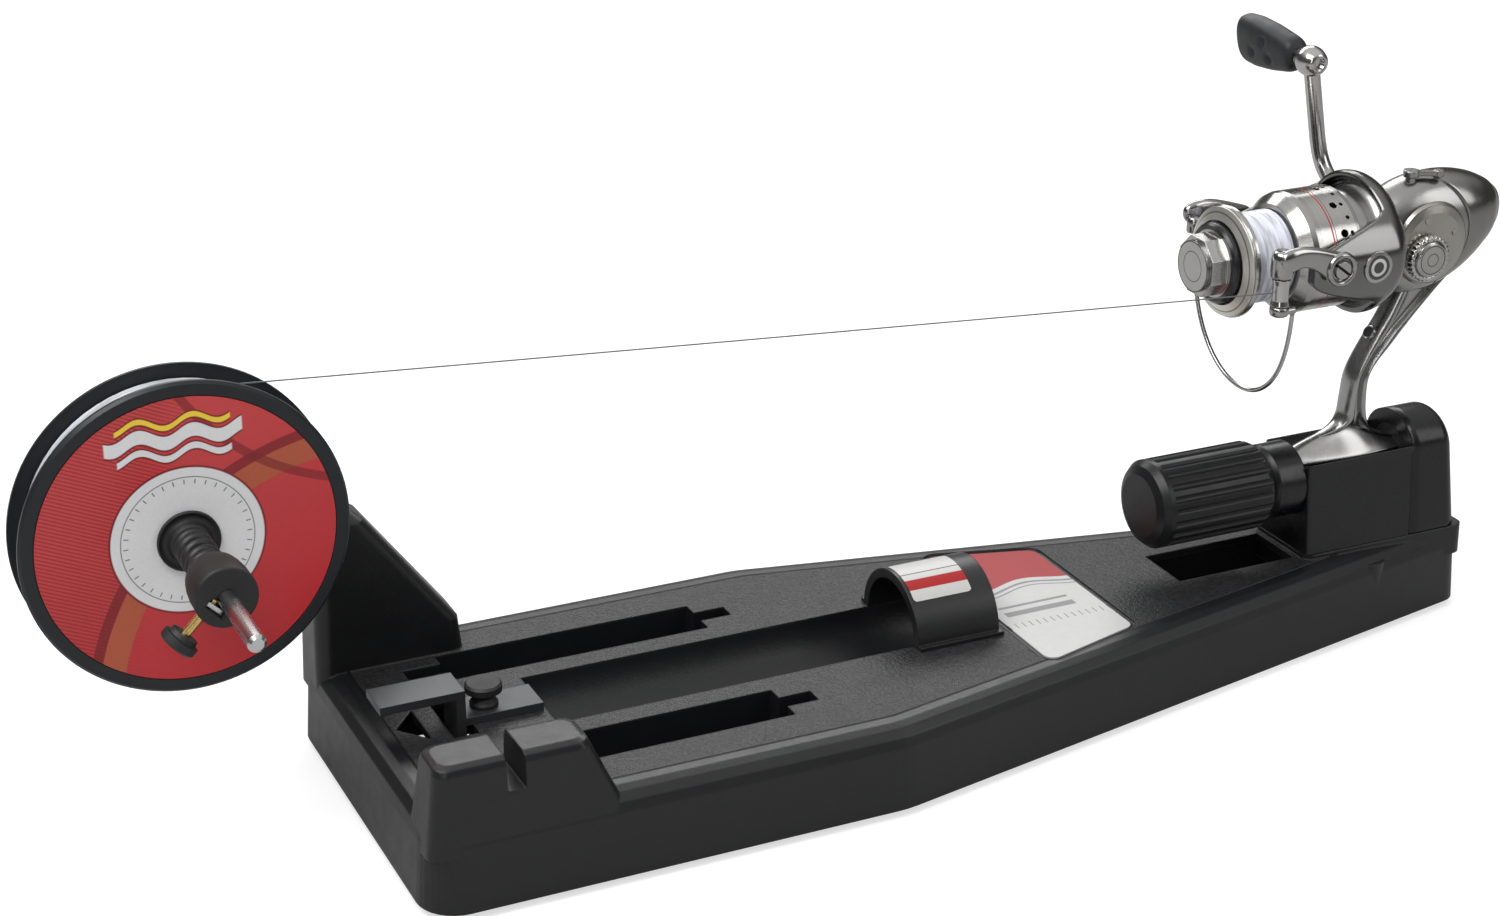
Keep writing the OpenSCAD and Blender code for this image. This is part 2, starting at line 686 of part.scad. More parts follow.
// Tapered collar with an open vee below the rod for its nut and screw
module locking_collar() color("#222325") difference() {
  turned_y([[collar_y0, 0], [collar_y0, collar_r - 0.8], [collar_y0 + 0.8, collar_r], [collar_y0 + 10, collar_r],
    [collar_y1 - 1, collar_r - 2.6], [collar_y1, collar_r - 3.4], [collar_y1, 0]], axle_x, axle_h);
  bar_y(collar_y0 - cut, collar_y1 + cut, axle_x, axle_h, rod_r + run_gap);
  translate([axle_x, 0, axle_h]) rotate([0, -screw_turn, 0]) {
    box([nut_in - 1.8, -nut_w / 2 - 0.3 + screw_y - 20, -nut_w / 2 - 0.3],
      [nut_in + nut_t + 0.3, screw_y + nut_w / 2 + 0.3, nut_w / 2 + 0.3]);
    translate([0, screw_y, 0]) rotate([0, 90, 0]) cylinder(h = collar_r + cut, r = screw_r + free_gap);
  }
}

module square_nut() color("#d6d8da") translate([axle_x, screw_y, axle_h]) rotate([0, -screw_turn, 0]) difference() {
  translate([nut_in, -nut_w / 2, -nut_w / 2]) cube([nut_t, nut_w, nut_w]);
  rotate([0, 90, 0]) cylinder(h = 20, r = screw_r + run_gap);
}

module collar_screw() color("#c79b3f") translate([axle_x, screw_y, axle_h]) rotate([0, 90 - screw_turn, 0])
  translate([0, 0, rod_r + free_gap]) cylinder(h = head_out + head_t - 1 - rod_r - free_gap, r = screw_r);

module collar_screw_head() color("#17181a") translate([axle_x, screw_y, axle_h]) rotate([0, 90 - screw_turn, 0])
  difference() {
    translate([0, 0, head_out]) rotate_extrude()
      polygon([[0, 0], [head_r - 1.6, 0], [head_r - 1.2, 1.6], [head_r, 1.8], [head_r, head_t - 0.8],
        [head_r - 0.8, head_t], [0, head_t]]);
    translate([0, 0, head_out - cut]) cylinder(h = head_t, r = screw_r + seat_gap);
  }

// Taut line from the top of the filler spool to the roller on the reel's bail
line_from = [axle_x + 4, spool_y, axle_h + wound_r + line_d];
line_to = [roller_x - roller_r - line_d, -roller_y, (roller_z0 + roller_z1) / 2];
line_path = [for (i = [0:16]) line_from + (line_to - line_from) * i / 16];
module line() color("#f2f4f6") tube(line_path, line_d / 2, 8, [0, 1, 0]);

// Reel

// A straight rod between two points
module rod_between(a, b, r) {
  d = b - a;
  translate(a) rotate([0, acos(d[2] / norm(d)), atan2(d[1], d[0])]) cylinder(h = norm(d), r = r);
}

// The egg-shaped gear case with its tail, before it is parted at the seam
module case_mass() intersection() {
  hull() {
    bar_y(-case_y, case_y, case_x, case_z, case_r - 4, $fn = hull_fn);
    bar_y(-case_y + 4, case_y - 4, case_x, case_z, case_r, $fn = hull_fn);
    bar_y(-case_y + 4, case_y - 4, case_x + 15, case_z + 1, case_r - 2, $fn = hull_fn);
    translate([tail_x, 0, tail_z]) sphere(r = tail_r, $fn = hull_fn);
  }
  box([case_x0, -2 * case_y, 0], [tail_x + 2 * tail_r, 2 * case_y, reel_h + 3 * case_r]);
}

// Room ahead of the curved seam that parts the rear cover from the case
module before_seam(gap) {
  bar_y(-2 * case_y, 2 * case_y, seam_x, seam_z, seam_r + gap);
  box([case_x0 - 1, -2 * case_y, 0], [seam_x + 13 + gap, 2 * case_y, seam_z - 16]);
  box([case_x0 - 1, -2 * case_y, 0], [seam_x, 2 * case_y, seam_z + 2 * seam_r]);
}

// Stem that leans back from the foot to the case, an I beam in section above its waist
module stem_plan(grow) {
  link_plan(stem_top, 8.2 + grow, stem_mid, 2.4 + grow);
  link_plan(stem_mid, 2.4 + grow, stem_low, 2.4 + grow);
  link_plan(stem_low, 2.4 + grow, stem_foot, 7 + grow);
}
module stem() {
  difference() {
    translate([0, stem_t / 2, 0]) rotate([90, 0, 0]) linear_extrude(stem_t) stem_plan(0);
    for (side = [-1, 1])
      translate([0, side > 0 ? stem_t / 2 + cut : -2.2, 0]) rotate([90, 0, 0])
        linear_extrude(stem_t / 2 + cut - 2.2)
          link_plan(stem_top + (stem_mid - stem_top) * 0.2, 4.4, stem_top + (stem_mid - stem_top) * 0.75, 1.4);
    box([reel_x, -stem_t, 0], [foot_x1, stem_t, foot_z + foot_t - 0.5]);
  }
}

// Blind hole and its screw, square to the stem's front edge
module stem_bore(from, to, r) translate([stem_hole[0], 0, stem_hole[1]]) rotate([0, stem_lean - 90, 0])
  translate([0, 0, from]) cylinder(h = to - from, r = r);

// Foot plate with thin tapered tips
module foot_plan() {
  link_plan([reel_x + 5, 0], 5, [stem_foot[0], 0], foot_w / 2);
  link_plan([stem_foot[0], 0], foot_w / 2, [foot_x1 - 5, 0], 5);
}
module reel_foot() intersection() {
  translate([0, 0, foot_z]) linear_extrude(foot_t) foot_plan();
  translate([0, foot_w, 0]) rotate([90, 0, 0]) linear_extrude(2 * foot_w) polygon([
    [reel_x, foot_z], [foot_x1, foot_z], [foot_x1, foot_z + 2.4], [stem_foot[0] + 8, foot_z + foot_t],
    [stem_foot[0] - 8, foot_z + foot_t], [reel_x, foot_z + 2.4]]);
}

// Bores for the crank line, the pinion and its bearing, shared by the pieces they pass through
module crank_bore(extra) bar_y(-case_y - cover_t - cut, boss_y + cut, crank_x, crank_z, crank_r + extra);

// Round room for the gears, open to the near side
module gear_room() {
  bar_y(-case_y - cut, case_y - 4, room_x, room_z, room_r);
  bar_x(case_x0 + 3.5, room_x, 0, reel_h, pinion_r + tooth_h + free_gap);
}

module reel_body() color("#9b9c9f") difference() {
  union() {
    intersection() {
      case_mass();
      before_seam(0);
    }
    bar_x(throat_x0, case_x0 + 3, 0, reel_h, throat_r);
    bar_y(case_y - 2, boss_y, crank_x, crank_z, boss_r);
    stem();
    reel_foot();
  }
  gear_room();
  bar_x(throat_x0 - cut, throat_x0 + bearing_w, 0, reel_h, 6 + seat_gap);
  bar_x(throat_x0, case_x, 0, reel_h, tube_r + free_gap);
  crank_bore(run_gap);
  bar_y(boss_y - 4, boss_y + cut, crank_x, crank_z, 5 + seat_gap);
  bar_z(case_z + case_r - 9, case_z + 2 * case_r, lever_at[0], lever_at[1], 2 + run_gap);
  stem_bore(1.5, 10, 1.6 + seat_gap);
}

module side_cover() color("#8e9094") difference() {
  union() {
    turned_y([[-case_y - cover_t, 0], [-case_y - cover_t, cover_r - 4], [-case_y - cover_t + 0.8, cover_r - 0.8],
      [-case_y, cover_r], [-case_y, 0]], room_x + 2, room_z + 2);
    bar_y(-case_y - 1, -case_y + lip_in, room_x, room_z, room_r - 0.2);
  }
  bar_y(-case_y - 0.8, -case_y + lip_in + cut, room_x, room_z, room_r - 1.6);
  crank_bore(run_gap);
}

module rear_cover() color("#b4b5b8") difference() {
  case_mass();
  before_seam(0.1);
  translate([0, stem_t / 2 + 0.1, 0]) rotate([90, 0, 0]) linear_extrude(stem_t + 0.2) stem_plan(0.1);
  gear_room();
}

module cover_screws() color("#c4c6c8") for (a = [20, 110, 310])
  translate([room_x + 2 + cover_screw_r * cos(a), 0, room_z + 2 + cover_screw_r * sin(a)])
    bar_y(-case_y - cover_t - 0.35, -case_y - cover_t - 0.05, 0, 0, 1.5);

module stem_screw() color("#77797c") stem_bore(1.6, 4.4, 1.6);

module crank_bearing() color("#b9bcc0") difference() {
  bar_y(boss_y - 3.9, boss_y - 0.1, crank_x, crank_z, 5);
  crank_bore(run_gap);
}

module rotor_bearing() color("#b9bcc0") difference() {
  bar_x(throat_x0 + 0.1, throat_x0 + bearing_w - 0.1, 0, reel_h, 6);
  bar_x(throat_x0 - cut, throat_x0 + bearing_w + cut, 0, reel_h, tube_r + run_gap);
}

// Face gear on the crank line; its teeth clear the pinion's by a running gap
module drive_gear() color("#c8b27a") {
  y1 = -pinion_r - tooth_h - free_gap;
  difference() {
    union() {
      bar_y(y1 - tooth_h - gear_t, y1 - tooth_h, crank_x, crank_z, gear_r + 1.4);
      for (i = [0:gear_teeth - 1])
        translate([crank_x, y1 - tooth_h / 2, crank_z]) rotate([0, 360 * i / gear_teeth, 0])
          translate([gear_r - 0.6, 0, 0]) cube([3.6, tooth_h, 0.8], center = true);
    }
    crank_bore(seat_gap);
  }
}

module crank_shaft() color("#b2b5b9")
  bar_y(-case_y - cover_t - 3, hub_y + 5, crank_x, crank_z, crank_r);

// Knurled cap on the near end of the crank line
module handle_cap() color("#aaacaf") difference() {
  y1 = -case_y - cover_t - free_gap;
  turned_y([[y1 - cap_t, 0], [y1 - cap_t, 6], [y1 - cap_t + 0.6, 6.8], [y1 - 1, 7.4], [y1, 6.6], [y1, 0]],
    crank_x, crank_z);
  bar_y(y1 - cap_t + 1.4, y1 + cut, crank_x, crank_z, crank_r + seat_gap);
  for (i = [0:23])
    translate([crank_x, 0, crank_z]) rotate([0, 15 * i, 0]) bar_y(y1 - cap_t + 0.9, y1 - 1.4, 7.7, 0, 0.6);
}

// Pinion on the hollow tube that carries the rotor
module pinion_gear() color("#d0b56c") difference() {
  union() {
    bar_x(rotor_x0 - 6, case_x0 + 7.4, 0, reel_h, tube_r);
    translate([0, 0, reel_h]) rotate([90, 0, 90]) translate([0, 0, case_x0 + 3.8]) linear_extrude(3.5) {
      circle(r = pinion_r);
      for (i = [0:pinion_teeth - 1])
        rotate(360 * (i + 0.5) / pinion_teeth) translate([pinion_r - 0.5, -0.5]) square([tooth_h + 0.5, 1]);
    }
  }
  bar_x(rotor_x0 - 7, case_x0 + 10, 0, reel_h, shaft_r + run_gap);
}

module main_shaft() color("#c3c6ca") bar_x(front_x - 6, shaft_x1, 0, reel_h, shaft_r);

module crosshead() color("#7f8185") difference() {
  box([shaft_x1 - 6, -4, reel_h], [shaft_x1 - 0.5, 4, reel_h + 6]);
  bar_x(shaft_x1 - 8, shaft_x1, 0, reel_h, shaft_r + seat_gap);
}

module anti_reverse_lever() color("#b8babd") {
  z0 = case_z + case_r - 8.5;
  top = case_z + case_r + 0.2;
  bar_z(z0, top + 1, lever_at[0], lever_at[1], 2);
  translate([lever_at[0], lever_at[1], top]) {
    cylinder(h = 2.4, r = 3);
    rotate(-lever_lean) translate([0, -1.3, 0.3]) cube([lever_len, 2.6, 1.8]);
    rotate(-lever_lean) translate([lever_len, 0, 0]) cylinder(h = 2.4, r = 1.9);
  }
}

// Rotor: a cup behind the spool with two arms beside the skirt
module rotor() color("#8f9194") difference() {
  union() {
    turned_x([[rotor_x0, 0], [rotor_x0, rotor_r], [rotor_x0 + 6, rotor_r], [rotor_x0 + 10, rotor_r - 2],
      [rotor_x1, 17], [rotor_x1, 0]], reel_h);
    intersection() {
      difference() {
        turned_x([[arm_x0, 0], [arm_x0, arm_r1 - 1.5], [arm_x0 + 3, arm_r1], [rotor_x0 + 8, arm_r1],
          [rotor_x0 + 16, 20], [rotor_x0 + 16, 0]], reel_h);
        bar_x(arm_x0 - cut, rotor_x0, 0, reel_h, arm_r0);
      }
      box([arm_x0 - cut, -2 * arm_r1, reel_h - arm_half], [rotor_x1, 2 * arm_r1, reel_h + arm_half]);
    }
  }
  bar_x(rotor_x0 - cut, rotor_x0 + 3, 0, reel_h, rotor_r - 2.4);
  bar_x(throat_x0 - free_gap, rotor_x1 + cut, 0, reel_h, throat_r + free_gap);
  bar_x(rotor_x0, rotor_x1, 0, reel_h, tube_r + seat_gap);
  for (side = [-1, 1])
    bar_y(side > 0 ? arm_r0 - 1 : -arm_r1 - cut, side > 0 ? arm_r1 + cut : 1 - arm_r0, pivot_x, pivot_z,
      pivot_pin_r + seat_gap);
}

module rotor_nut() color("#caccd0") difference() {
  bar_x(rotor_x0 - 2.6, rotor_x0 + 2.9, 0, reel_h, 6.5, $fn = 6);
  bar_x(rotor_x0 - 3.6, rotor_x0 + 4, 0, reel_h, tube_r + seat_gap);
}

// Bare oval plate on the near arm
module arm_badge() color("#d7d8da") intersection() {
  difference() {
    bar_x(rotor_x0 - 10, rotor_x0 + 8, 0, reel_h, arm_r1 + 0.7);
    bar_x(rotor_x0 - 11, rotor_x0 + 9, 0, reel_h, arm_r1 + 0.05);
  }
  bar_y(-2 * arm_r1, 0, rotor_x0 + 1, reel_h, 6);
}

// Bail: two levers, the wire between them and the upright roller under the near lever's tip
module bail_lever(y0, y1) difference() {
  translate([0, y1, 0]) rotate([90, 0, 0]) linear_extrude(y1 - y0)
    link_plan([pivot_x, pivot_z], 6, [roller_x, tip_z], tip_r);
  bar_y(y0 - cut, y1 + cut, pivot_x, pivot_z, pivot_pin_r + run_gap);
}
module bail_arm_near() color("#85878a") {
  bail_lever(-lever_y1, -lever_y0);
  bar_z(roller_z1 + free_gap, tip_z + tip_r, roller_x, -roller_y, knuckle_r);
  bar_z(bracket_z, tip_z, roller_x, -roller_y, roller_pin_r);
  bar_z(bracket_z, roller_z0 - free_gap, roller_x, -roller_y, knuckle_r - 0.6);
  box([roller_x, -roller_y - bracket_r, bracket_z], [roller_x + bracket_len, bracket_r - roller_y, roller_z0 - 1.2]);
  bar_z(bracket_z, roller_z0 - 1.2, roller_x + bracket_len, -roller_y, bracket_r);
}
module bail_arm_far() color("#85878a") {
  bail_lever(lever_y0, lever_y1);
  bar_z(tip_z - 6, tip_z, roller_x, roller_y, 2.6);
}

// Wire loop that hangs from the bracket and rises to the far lever
wire_z0 = bracket_z + 1.4;
wire_z1 = tip_z - 5;
wire_path = [for (i = [0:36]) let (t = 180 * i / 36, sag = pow(sin(t), 0.8))
  [roller_x + bracket_len * (2 + cos(t)) / 3 - bail_reach * sag, -roller_y * cos(t),
   (wire_z0 * (1 + cos(t)) + wire_z1 * (1 - cos(t))) / 2 - bail_drop * sag]];
module bail_wire() color("#bfc1c4") tube(wire_path, wire_r, 8, [1, 0, 0]);

module bail_screws() color("#d0d2d4") for (side = [0, 1])
  mirror([0, side, 0]) turned_y([[arm_r0 + 0.5, 0], [arm_r0 + 0.5, pivot_pin_r], [lever_y1 + 0.2, pivot_pin_r],
    [lever_y1 + 0.2, 3.6], [lever_y1 + 1.4, 3.2], [lever_y1 + 1.4, 0]], pivot_x, pivot_z);

// Line roller with a shallow groove, upright between the knuckle and the bracket
module line_roller() color("#dcdde0") translate([roller_x, -roller_y, 0]) difference() {
  rotate_extrude() polygon([[0, roller_z0], [roller_r + 0.5, roller_z0], [roller_r, roller_z0 + 2],
    [roller_r, roller_z1 - 2], [roller_r + 0.5, roller_z1], [0, roller_z1]]);
  translate([0, 0, roller_z0 - cut]) cylinder(h = roller_len + 2 * cut, r = roller_pin_r + run_gap);
}

// Spool: lip, arbor and hollow drilled skirt
hole_x = skirt_x1 - 7;
module reel_spool() color("#c2c3c2") difference() {
  turned_x([[front_x + 2.6, 0], [front_x + 2.6, lip_r - 0.4], [front_x + 3.4, lip_r], [front_x + 4.6, lip_r],
    [wound_x0, lip_r - 2], [wound_x0, 13], [wound_x1, 13], [wound_x1, skirt_r - 4],
    [wound_x1 + 4, skirt_r - 0.6], [wound_x1 + 6, skirt_r], [skirt_x1, skirt_r], [skirt_x1, skirt_r - 1.2],
    [wound_x1 + 5, skirt_r - 1.2], [wound_x1 + 2, 12], [wound_x1 + 2, 0]], reel_h);
  bar_x(front_x, front_x + 4, 0, reel_h, drag_r + 0.6);
  bar_x(front_x, front_x + 14, 0, reel_h, 11);
  bar_x(front_x, skirt_x1, 0, reel_h, shaft_r + run_gap);
  for (i = [0:23])
    translate([hole_x + (i % 2 == 0 ? 0 : -1.6), 0, reel_h]) rotate([15 * i, 0, 0])
      cylinder(h = 2 * skirt_r, r = i % 2 == 0 ? 1.5 : 0.8, $fn = 16);
}

// Bright ring on the front of the lip
module spool_ring() color("#d8d6cf") turned_x([[front_x, drag_r + 0.8], [front_x + 2, lip_r - 0.6],
  [front_x + 2.55, lip_r - 0.6], [front_x + 2.55, drag_r + 0.8]], reel_h);

module reel_core() color("#dfe4ee") turned_x([[wound_x0 + 0.3, 13.05], [wound_x0 + 0.3, reel_core_r],
  [wound_x1 - 0.3, reel_core_r], [wound_x1 - 0.3, 13.05]], reel_h);
reel_helix = helix_y(reel_wound_r - reel_line_d / 2, wound_x0 + reel_line_d / 2 + 0.4,
  wound_x1 - reel_line_d / 2 - 0.4, reel_turns, turn_rings);
reel_path = [for (p = reel_helix) [p[1], p[0], p[2]]];
module reel_winding() color("#eef2fa") translate([0, 0, reel_h]) tube(reel_path, reel_line_d / 2, 6, [1, 0, 0]);

module drag_washers() color("#3a3b3d") for (i = [0:2]) difference() {
  x = front_x + 6.3 + 2.4 * i;
  bar_x(x, x + 2.1, 0, reel_h, 10.6);
  bar_x(x - cut, x + 2.1 + cut, 0, reel_h, shaft_r + run_gap);
}

// Drag knob with an eight-sided grip, sunk in the front of the spool
module drag_knob() color("#b0b2b4") difference() {
  union() {
    turned_x([[front_x - 3, 0], [front_x - 3, drag_r - 1], [front_x - 2, drag_r], [front_x + 3.6, drag_r],
      [front_x + 3.6, 10.5], [front_x + 6, 10.5], [front_x + 6, 0]], reel_h);
    translate([0, 0, reel_h]) rotate([22.5, 0, 0]) bar_x(drag_x0 + 1.5, front_x - 2, 0, 0, 11.6, $fn = 8);
    bar_x(drag_x0, drag_x0 + 1.6, 0, reel_h, 9.6);
  }
  bar_x(front_x - 6.5, front_x + 7, 0, reel_h, shaft_r + run_gap);
}

// Crank: bent arm, pin and grip, in a frame that leans with the handle
module crank_frame() translate([crank_x, 0, crank_z]) rotate([0, -crank_tilt, 0]) children();
module crank_arm() color("#a5a6a6") difference() {
  crank_frame() {
    bar_y(boss_y + free_gap, hub_y + 8, 0, 0, 6.5);
    rod_between([0, hub_y + 4, 0], [0, grip_y, crank_len * 0.4], arm_rod_r);
    translate([0, grip_y, crank_len * 0.4]) sphere(r = arm_rod_r + 0.2);
    rod_between([0, grip_y, crank_len * 0.4], [0, grip_y, crank_len], arm_rod_r);
    translate([0, grip_y, crank_len]) sphere(r = 6);
  }
  bar_y(boss_y - cut, hub_y + 5.2, crank_x, crank_z, crank_r + seat_gap);
  crank_frame() bar_y(grip_y - 10, grip_y + 10, 0, crank_len, grip_pin_r + seat_gap);
}
module grip_pin() color("#c2c4c6") crank_frame()
  bar_y(grip_y - 4, grip_y + 5 + grip_len, 0, crank_len, grip_pin_r);

// Flattened paddle grip
module crank_grip() color("#25282b") crank_frame() difference() {
  y0 = grip_y + 6.4;
  hull() {
    bar_y(y0, y0 + 1, 0, crank_len, 6, $fn = hull_fn);
    for (z = [-1, 1]) {
      bar_y(y0 + 20, y0 + 21, 0, crank_len + 3.6 * z, 6.4, $fn = hull_fn);
      bar_y(y0 + grip_len - 9, y0 + grip_len - 5, 0, crank_len + 5.4 * z, 6, $fn = hull_fn);
      bar_y(y0 + grip_len - 1, y0 + grip_len, 0, crank_len + 4 * z, 4, $fn = hull_fn);
    }
  }
  bar_y(y0 - cut, y0 + grip_len - 1.2, 0, crank_len, grip_pin_r + run_gap);
}

echo(filler_gap = turn_step(filler_path, turn_rings) - filler_line_d, reel_gap = turn_step(reel_path, turn_rings) - reel_line_d,
  spring_gap = turn_step(spring_body, curl_rings) - spring_wire);

// The part's origin lies on the table, under the middle of its outline
origin_x = (axle_x - flange_r + tail_x + tail_r - 2) / 2;
origin_y = (min(axle_tip_y, -base_w / 2) + grip_y + 6.4 + grip_len) / 2;
module placed() translate([-origin_x, -origin_y, foot_h]) children();

placed() base_shell();
placed() feet();
placed() info_label();
placed() rod_arch();
placed() clamp_plate();
placed() clamp_screw();
placed() seat_tower();
placed() seat_screws();
placed() seat_stud();
placed() sliding_hood();
placed() clamp_knob();
placed() spool_arm();
placed() back_stop();
placed() filler_spool();
placed() filler_label();
placed() filler_core();
placed() filler_winding();
placed() tension_disc();
placed() tension_spring();
placed() locking_collar();
placed() square_nut();
placed() collar_screw();
placed() collar_screw_head();
placed() line();
placed() reel_body();
placed() side_cover();
placed() rear_cover();
placed() cover_screws();
placed() stem_screw();
placed() crank_bearing();
placed() rotor_bearing();
placed() drive_gear();
placed() crank_shaft();
placed() handle_cap();
placed() pinion_gear();
placed() main_shaft();
placed() crosshead();
placed() anti_reverse_lever();
placed() rotor();
placed() rotor_nut();
placed() arm_badge();
placed() bail_arm_near();
placed() bail_arm_far();
placed() bail_wire();
placed() bail_screws();
placed() line_roller();
placed() reel_spool();
placed() spool_ring();
placed() reel_core();
placed() reel_winding();
placed() drag_washers();
placed() drag_knob();
placed() crank_arm();
placed() grip_pin();
placed() crank_grip();
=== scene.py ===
import math

import bpy
import numpy as np
from mathutils import Matrix, Vector


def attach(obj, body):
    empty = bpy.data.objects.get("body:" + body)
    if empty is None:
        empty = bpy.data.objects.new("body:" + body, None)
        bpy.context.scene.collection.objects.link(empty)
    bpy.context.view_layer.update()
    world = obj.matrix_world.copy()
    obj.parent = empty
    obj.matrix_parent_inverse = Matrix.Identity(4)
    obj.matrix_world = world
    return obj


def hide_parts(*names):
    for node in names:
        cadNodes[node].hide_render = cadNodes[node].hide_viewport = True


# Spooling station with a loaded filler spool and a spinning reel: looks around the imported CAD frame.
# Lengths are in the station's millimetres and turned to the frame's metres by place().

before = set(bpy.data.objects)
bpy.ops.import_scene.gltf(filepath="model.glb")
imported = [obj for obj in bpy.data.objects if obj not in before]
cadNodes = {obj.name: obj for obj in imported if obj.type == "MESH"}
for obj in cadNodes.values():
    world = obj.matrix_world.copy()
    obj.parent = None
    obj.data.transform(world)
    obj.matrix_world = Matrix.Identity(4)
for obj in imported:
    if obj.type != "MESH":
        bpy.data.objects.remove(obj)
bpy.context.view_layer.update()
tau = 2 * math.pi
stationOrigin = np.array((177.75, 10.325, -3.0))   # the frame's origin in station millimetres


def place(points):
    # metres = (millimetres - origin) / 1000
    return (np.asarray(points, float) - stationOrigin) / 1000


# Camera

shot = {
    "eye": (-222.77, -789.94, 475.85),     # camera's place, station millimetres
    "ahead": (0.38827, 0.83490, -0.39011), "roll": 0.11,
    "lens": 65.73, "sensor": 36.0, "shift": (0.0028, 0.0002), "clip": (0.01, 50),
}


def addObject(name, data):
    obj = bpy.data.objects.new(name, data)
    bpy.context.scene.collection.objects.link(obj)
    return obj


def aimed(direction):
    # the turn that points a camera or a lamp along a direction
    return Vector(direction).to_track_quat("-Z", "Y").to_matrix().to_4x4()


def makeCamera():
    # moved to the eye, turned along the line of sight, then rolled about it
    data = bpy.data.cameras.new("shotCamera")
    data.lens, data.sensor_width = shot["lens"], shot["sensor"]
    data.shift_x, data.shift_y = shot["shift"]
    data.clip_start, data.clip_end = shot["clip"]
    camera = addObject("shotCamera", data)
    roll = Matrix.Rotation(math.radians(shot["roll"]), 4, "Z")
    camera.matrix_world = Matrix.Translation(Vector(place(shot["eye"]))) @ aimed(shot["ahead"]) @ roll
    bpy.context.scene.camera = camera


makeCamera()
bpy.context.scene.view_settings.view_transform = "Standard"
print("camera set")

# Meshes from numpy grids


def fullTurn(count):
    # even angles round one turn: k / count of it
    return np.arange(count) / count * tau


def squared(values, power):
    # keeps the sign and raises the size to a power, which squares off an oval
    return np.sign(values) * np.abs(values) ** power


def easeStep(x):
    # 0 to 1 with level ends: 3 x squared less 2 x cubed
    x = np.clip(x, 0, 1)
    return x * x * (3 - 2 * x)


def gridFaces(rows, cols, closeRows, closeCols):
    # quads between neighbouring grid points, wrapped round where a side is closed
    i = np.arange(rows if closeRows else rows - 1)
    j = np.arange(cols if closeCols else cols - 1)
    i, j = np.meshgrid(i, j, indexing="ij")
    i1, j1 = (i + 1) % rows, (j + 1) % cols
    return np.stack([i * cols + j, i1 * cols + j, i1 * cols + j1, i * cols + j1], -1).reshape(-1, 4)


def gridPiece(name, points, closeRows=False, closeCols=True, caps=True, smooth=True):
    # one surface from an array of rows x columns x 3 points; flat caps close the first and last row
    points = np.asarray(points, float)
    rows, cols = points.shape[:2]
    faces = gridFaces(rows, cols, closeRows, closeCols).tolist()
    sides = len(faces)
    if caps and closeCols and not closeRows:
        faces.append(list(range(cols)))
        faces.append([(rows - 1) * cols + k for k in range(cols - 1, -1, -1)])
    mesh = bpy.data.meshes.new(name)
    mesh.from_pydata(points.reshape(-1, 3), [], faces)
    mesh.polygons.foreach_set("use_smooth", np.arange(len(faces)) < (sides if smooth else 0))
    mesh.update()
    return addObject(name, mesh)


def dressPiece(obj, finish, body, slot, *replaced):
    # the piece's material, the body it rides on, the record's slot, which is not used, and the nodes it
    # stands for
    obj.data.materials.append(finishes[finish] if isinstance(finish, str) else finish)
    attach(obj, body)
    if replaced:
        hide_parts(*replaced)
    return obj


def makePiece(name, grid, finish, body, slot, *replaced, **shape):
    # a surface given in station millimetres, placed in the frame and dressed
    return dressPiece(gridPiece(name, place(grid), **shape), finish, body, slot, *replaced)


def frames(path, up):
    # tangents by central differences, then two unit vectors square to them, one of them near up
    tangent = np.gradient(path, axis=0)
    tangent /= np.linalg.norm(tangent, axis=1, keepdims=True)
    side = np.cross(np.broadcast_to(np.asarray(up, float), path.shape), tangent)
    side /= np.linalg.norm(side, axis=1, keepdims=True)
    return side, np.cross(tangent, side)


def tubeGrid(path, radius, sides, up):
    # circles of one radius, square to the path
    side, rise = frames(path, up)
    turn = fullTurn(sides)
    return path[:, None] + radius * (side[:, None] * np.cos(turn)[:, None]
                                     + rise[:, None] * np.sin(turn)[:, None])


def turnedGrid(profile, axis, centre, sides=64):
    # a profile of (station, radius) turned round the X, Y or Z axis through the centre
    profile = np.asarray(profile, float)
    turn = fullTurn(sides)
    station = np.broadcast_to(profile[:, :1], (len(profile), sides))
    c, s = profile[:, 1:] * np.cos(turn), profile[:, 1:] * np.sin(turn)
    if axis == "X":
        return np.stack([station, centre[0] + c, centre[1] + s], -1)
    if axis == "Y":
        return np.stack([centre[0] + s, station, centre[1] + c], -1)
    return np.stack([centre[0] + c, centre[1] + s, station], -1)


def smoothPath(keys, count):
    # a cubic through the key points, by Catmull-Rom weights on an even parameter
    keys = np.asarray(keys, float)
    padded = np.vstack([2 * keys[0] - keys[1], keys, 2 * keys[-1] - keys[-2]])
    t = np.linspace(0, len(keys) - 1 - 1e-9, count)
    k = t.astype(int)
    f = (t - k)[:, None]
    a, b, c, d = padded[k], padded[k + 1], padded[k + 2], padded[k + 3]
    return 0.5 * (2 * b + (c - a) * f + (2 * a - 5 * b + 4 * c - d) * f ** 2
                  + (3 * b - a - 3 * c + d) * f ** 3)


def smoothAlong(x, at, values):
    # cubic with slopes from the neighbours on either side, flat past the ends
    at, values = np.asarray(at, float), np.asarray(values, float)
    slope = np.gradient(values, at)
    k = np.clip(np.searchsorted(at, x) - 1, 0, len(at) - 2)
    width = at[k + 1] - at[k]
    f = np.clip((x - at[k]) / width, 0, 1)
    return ((2 * f ** 3 - 3 * f ** 2 + 1) * values[k] + (f ** 3 - 2 * f ** 2 + f) * width * slope[k]
            + (-2 * f ** 3 + 3 * f ** 2) * values[k + 1] + (f ** 3 - f ** 2) * width * slope[k + 1])


# Shader nodes


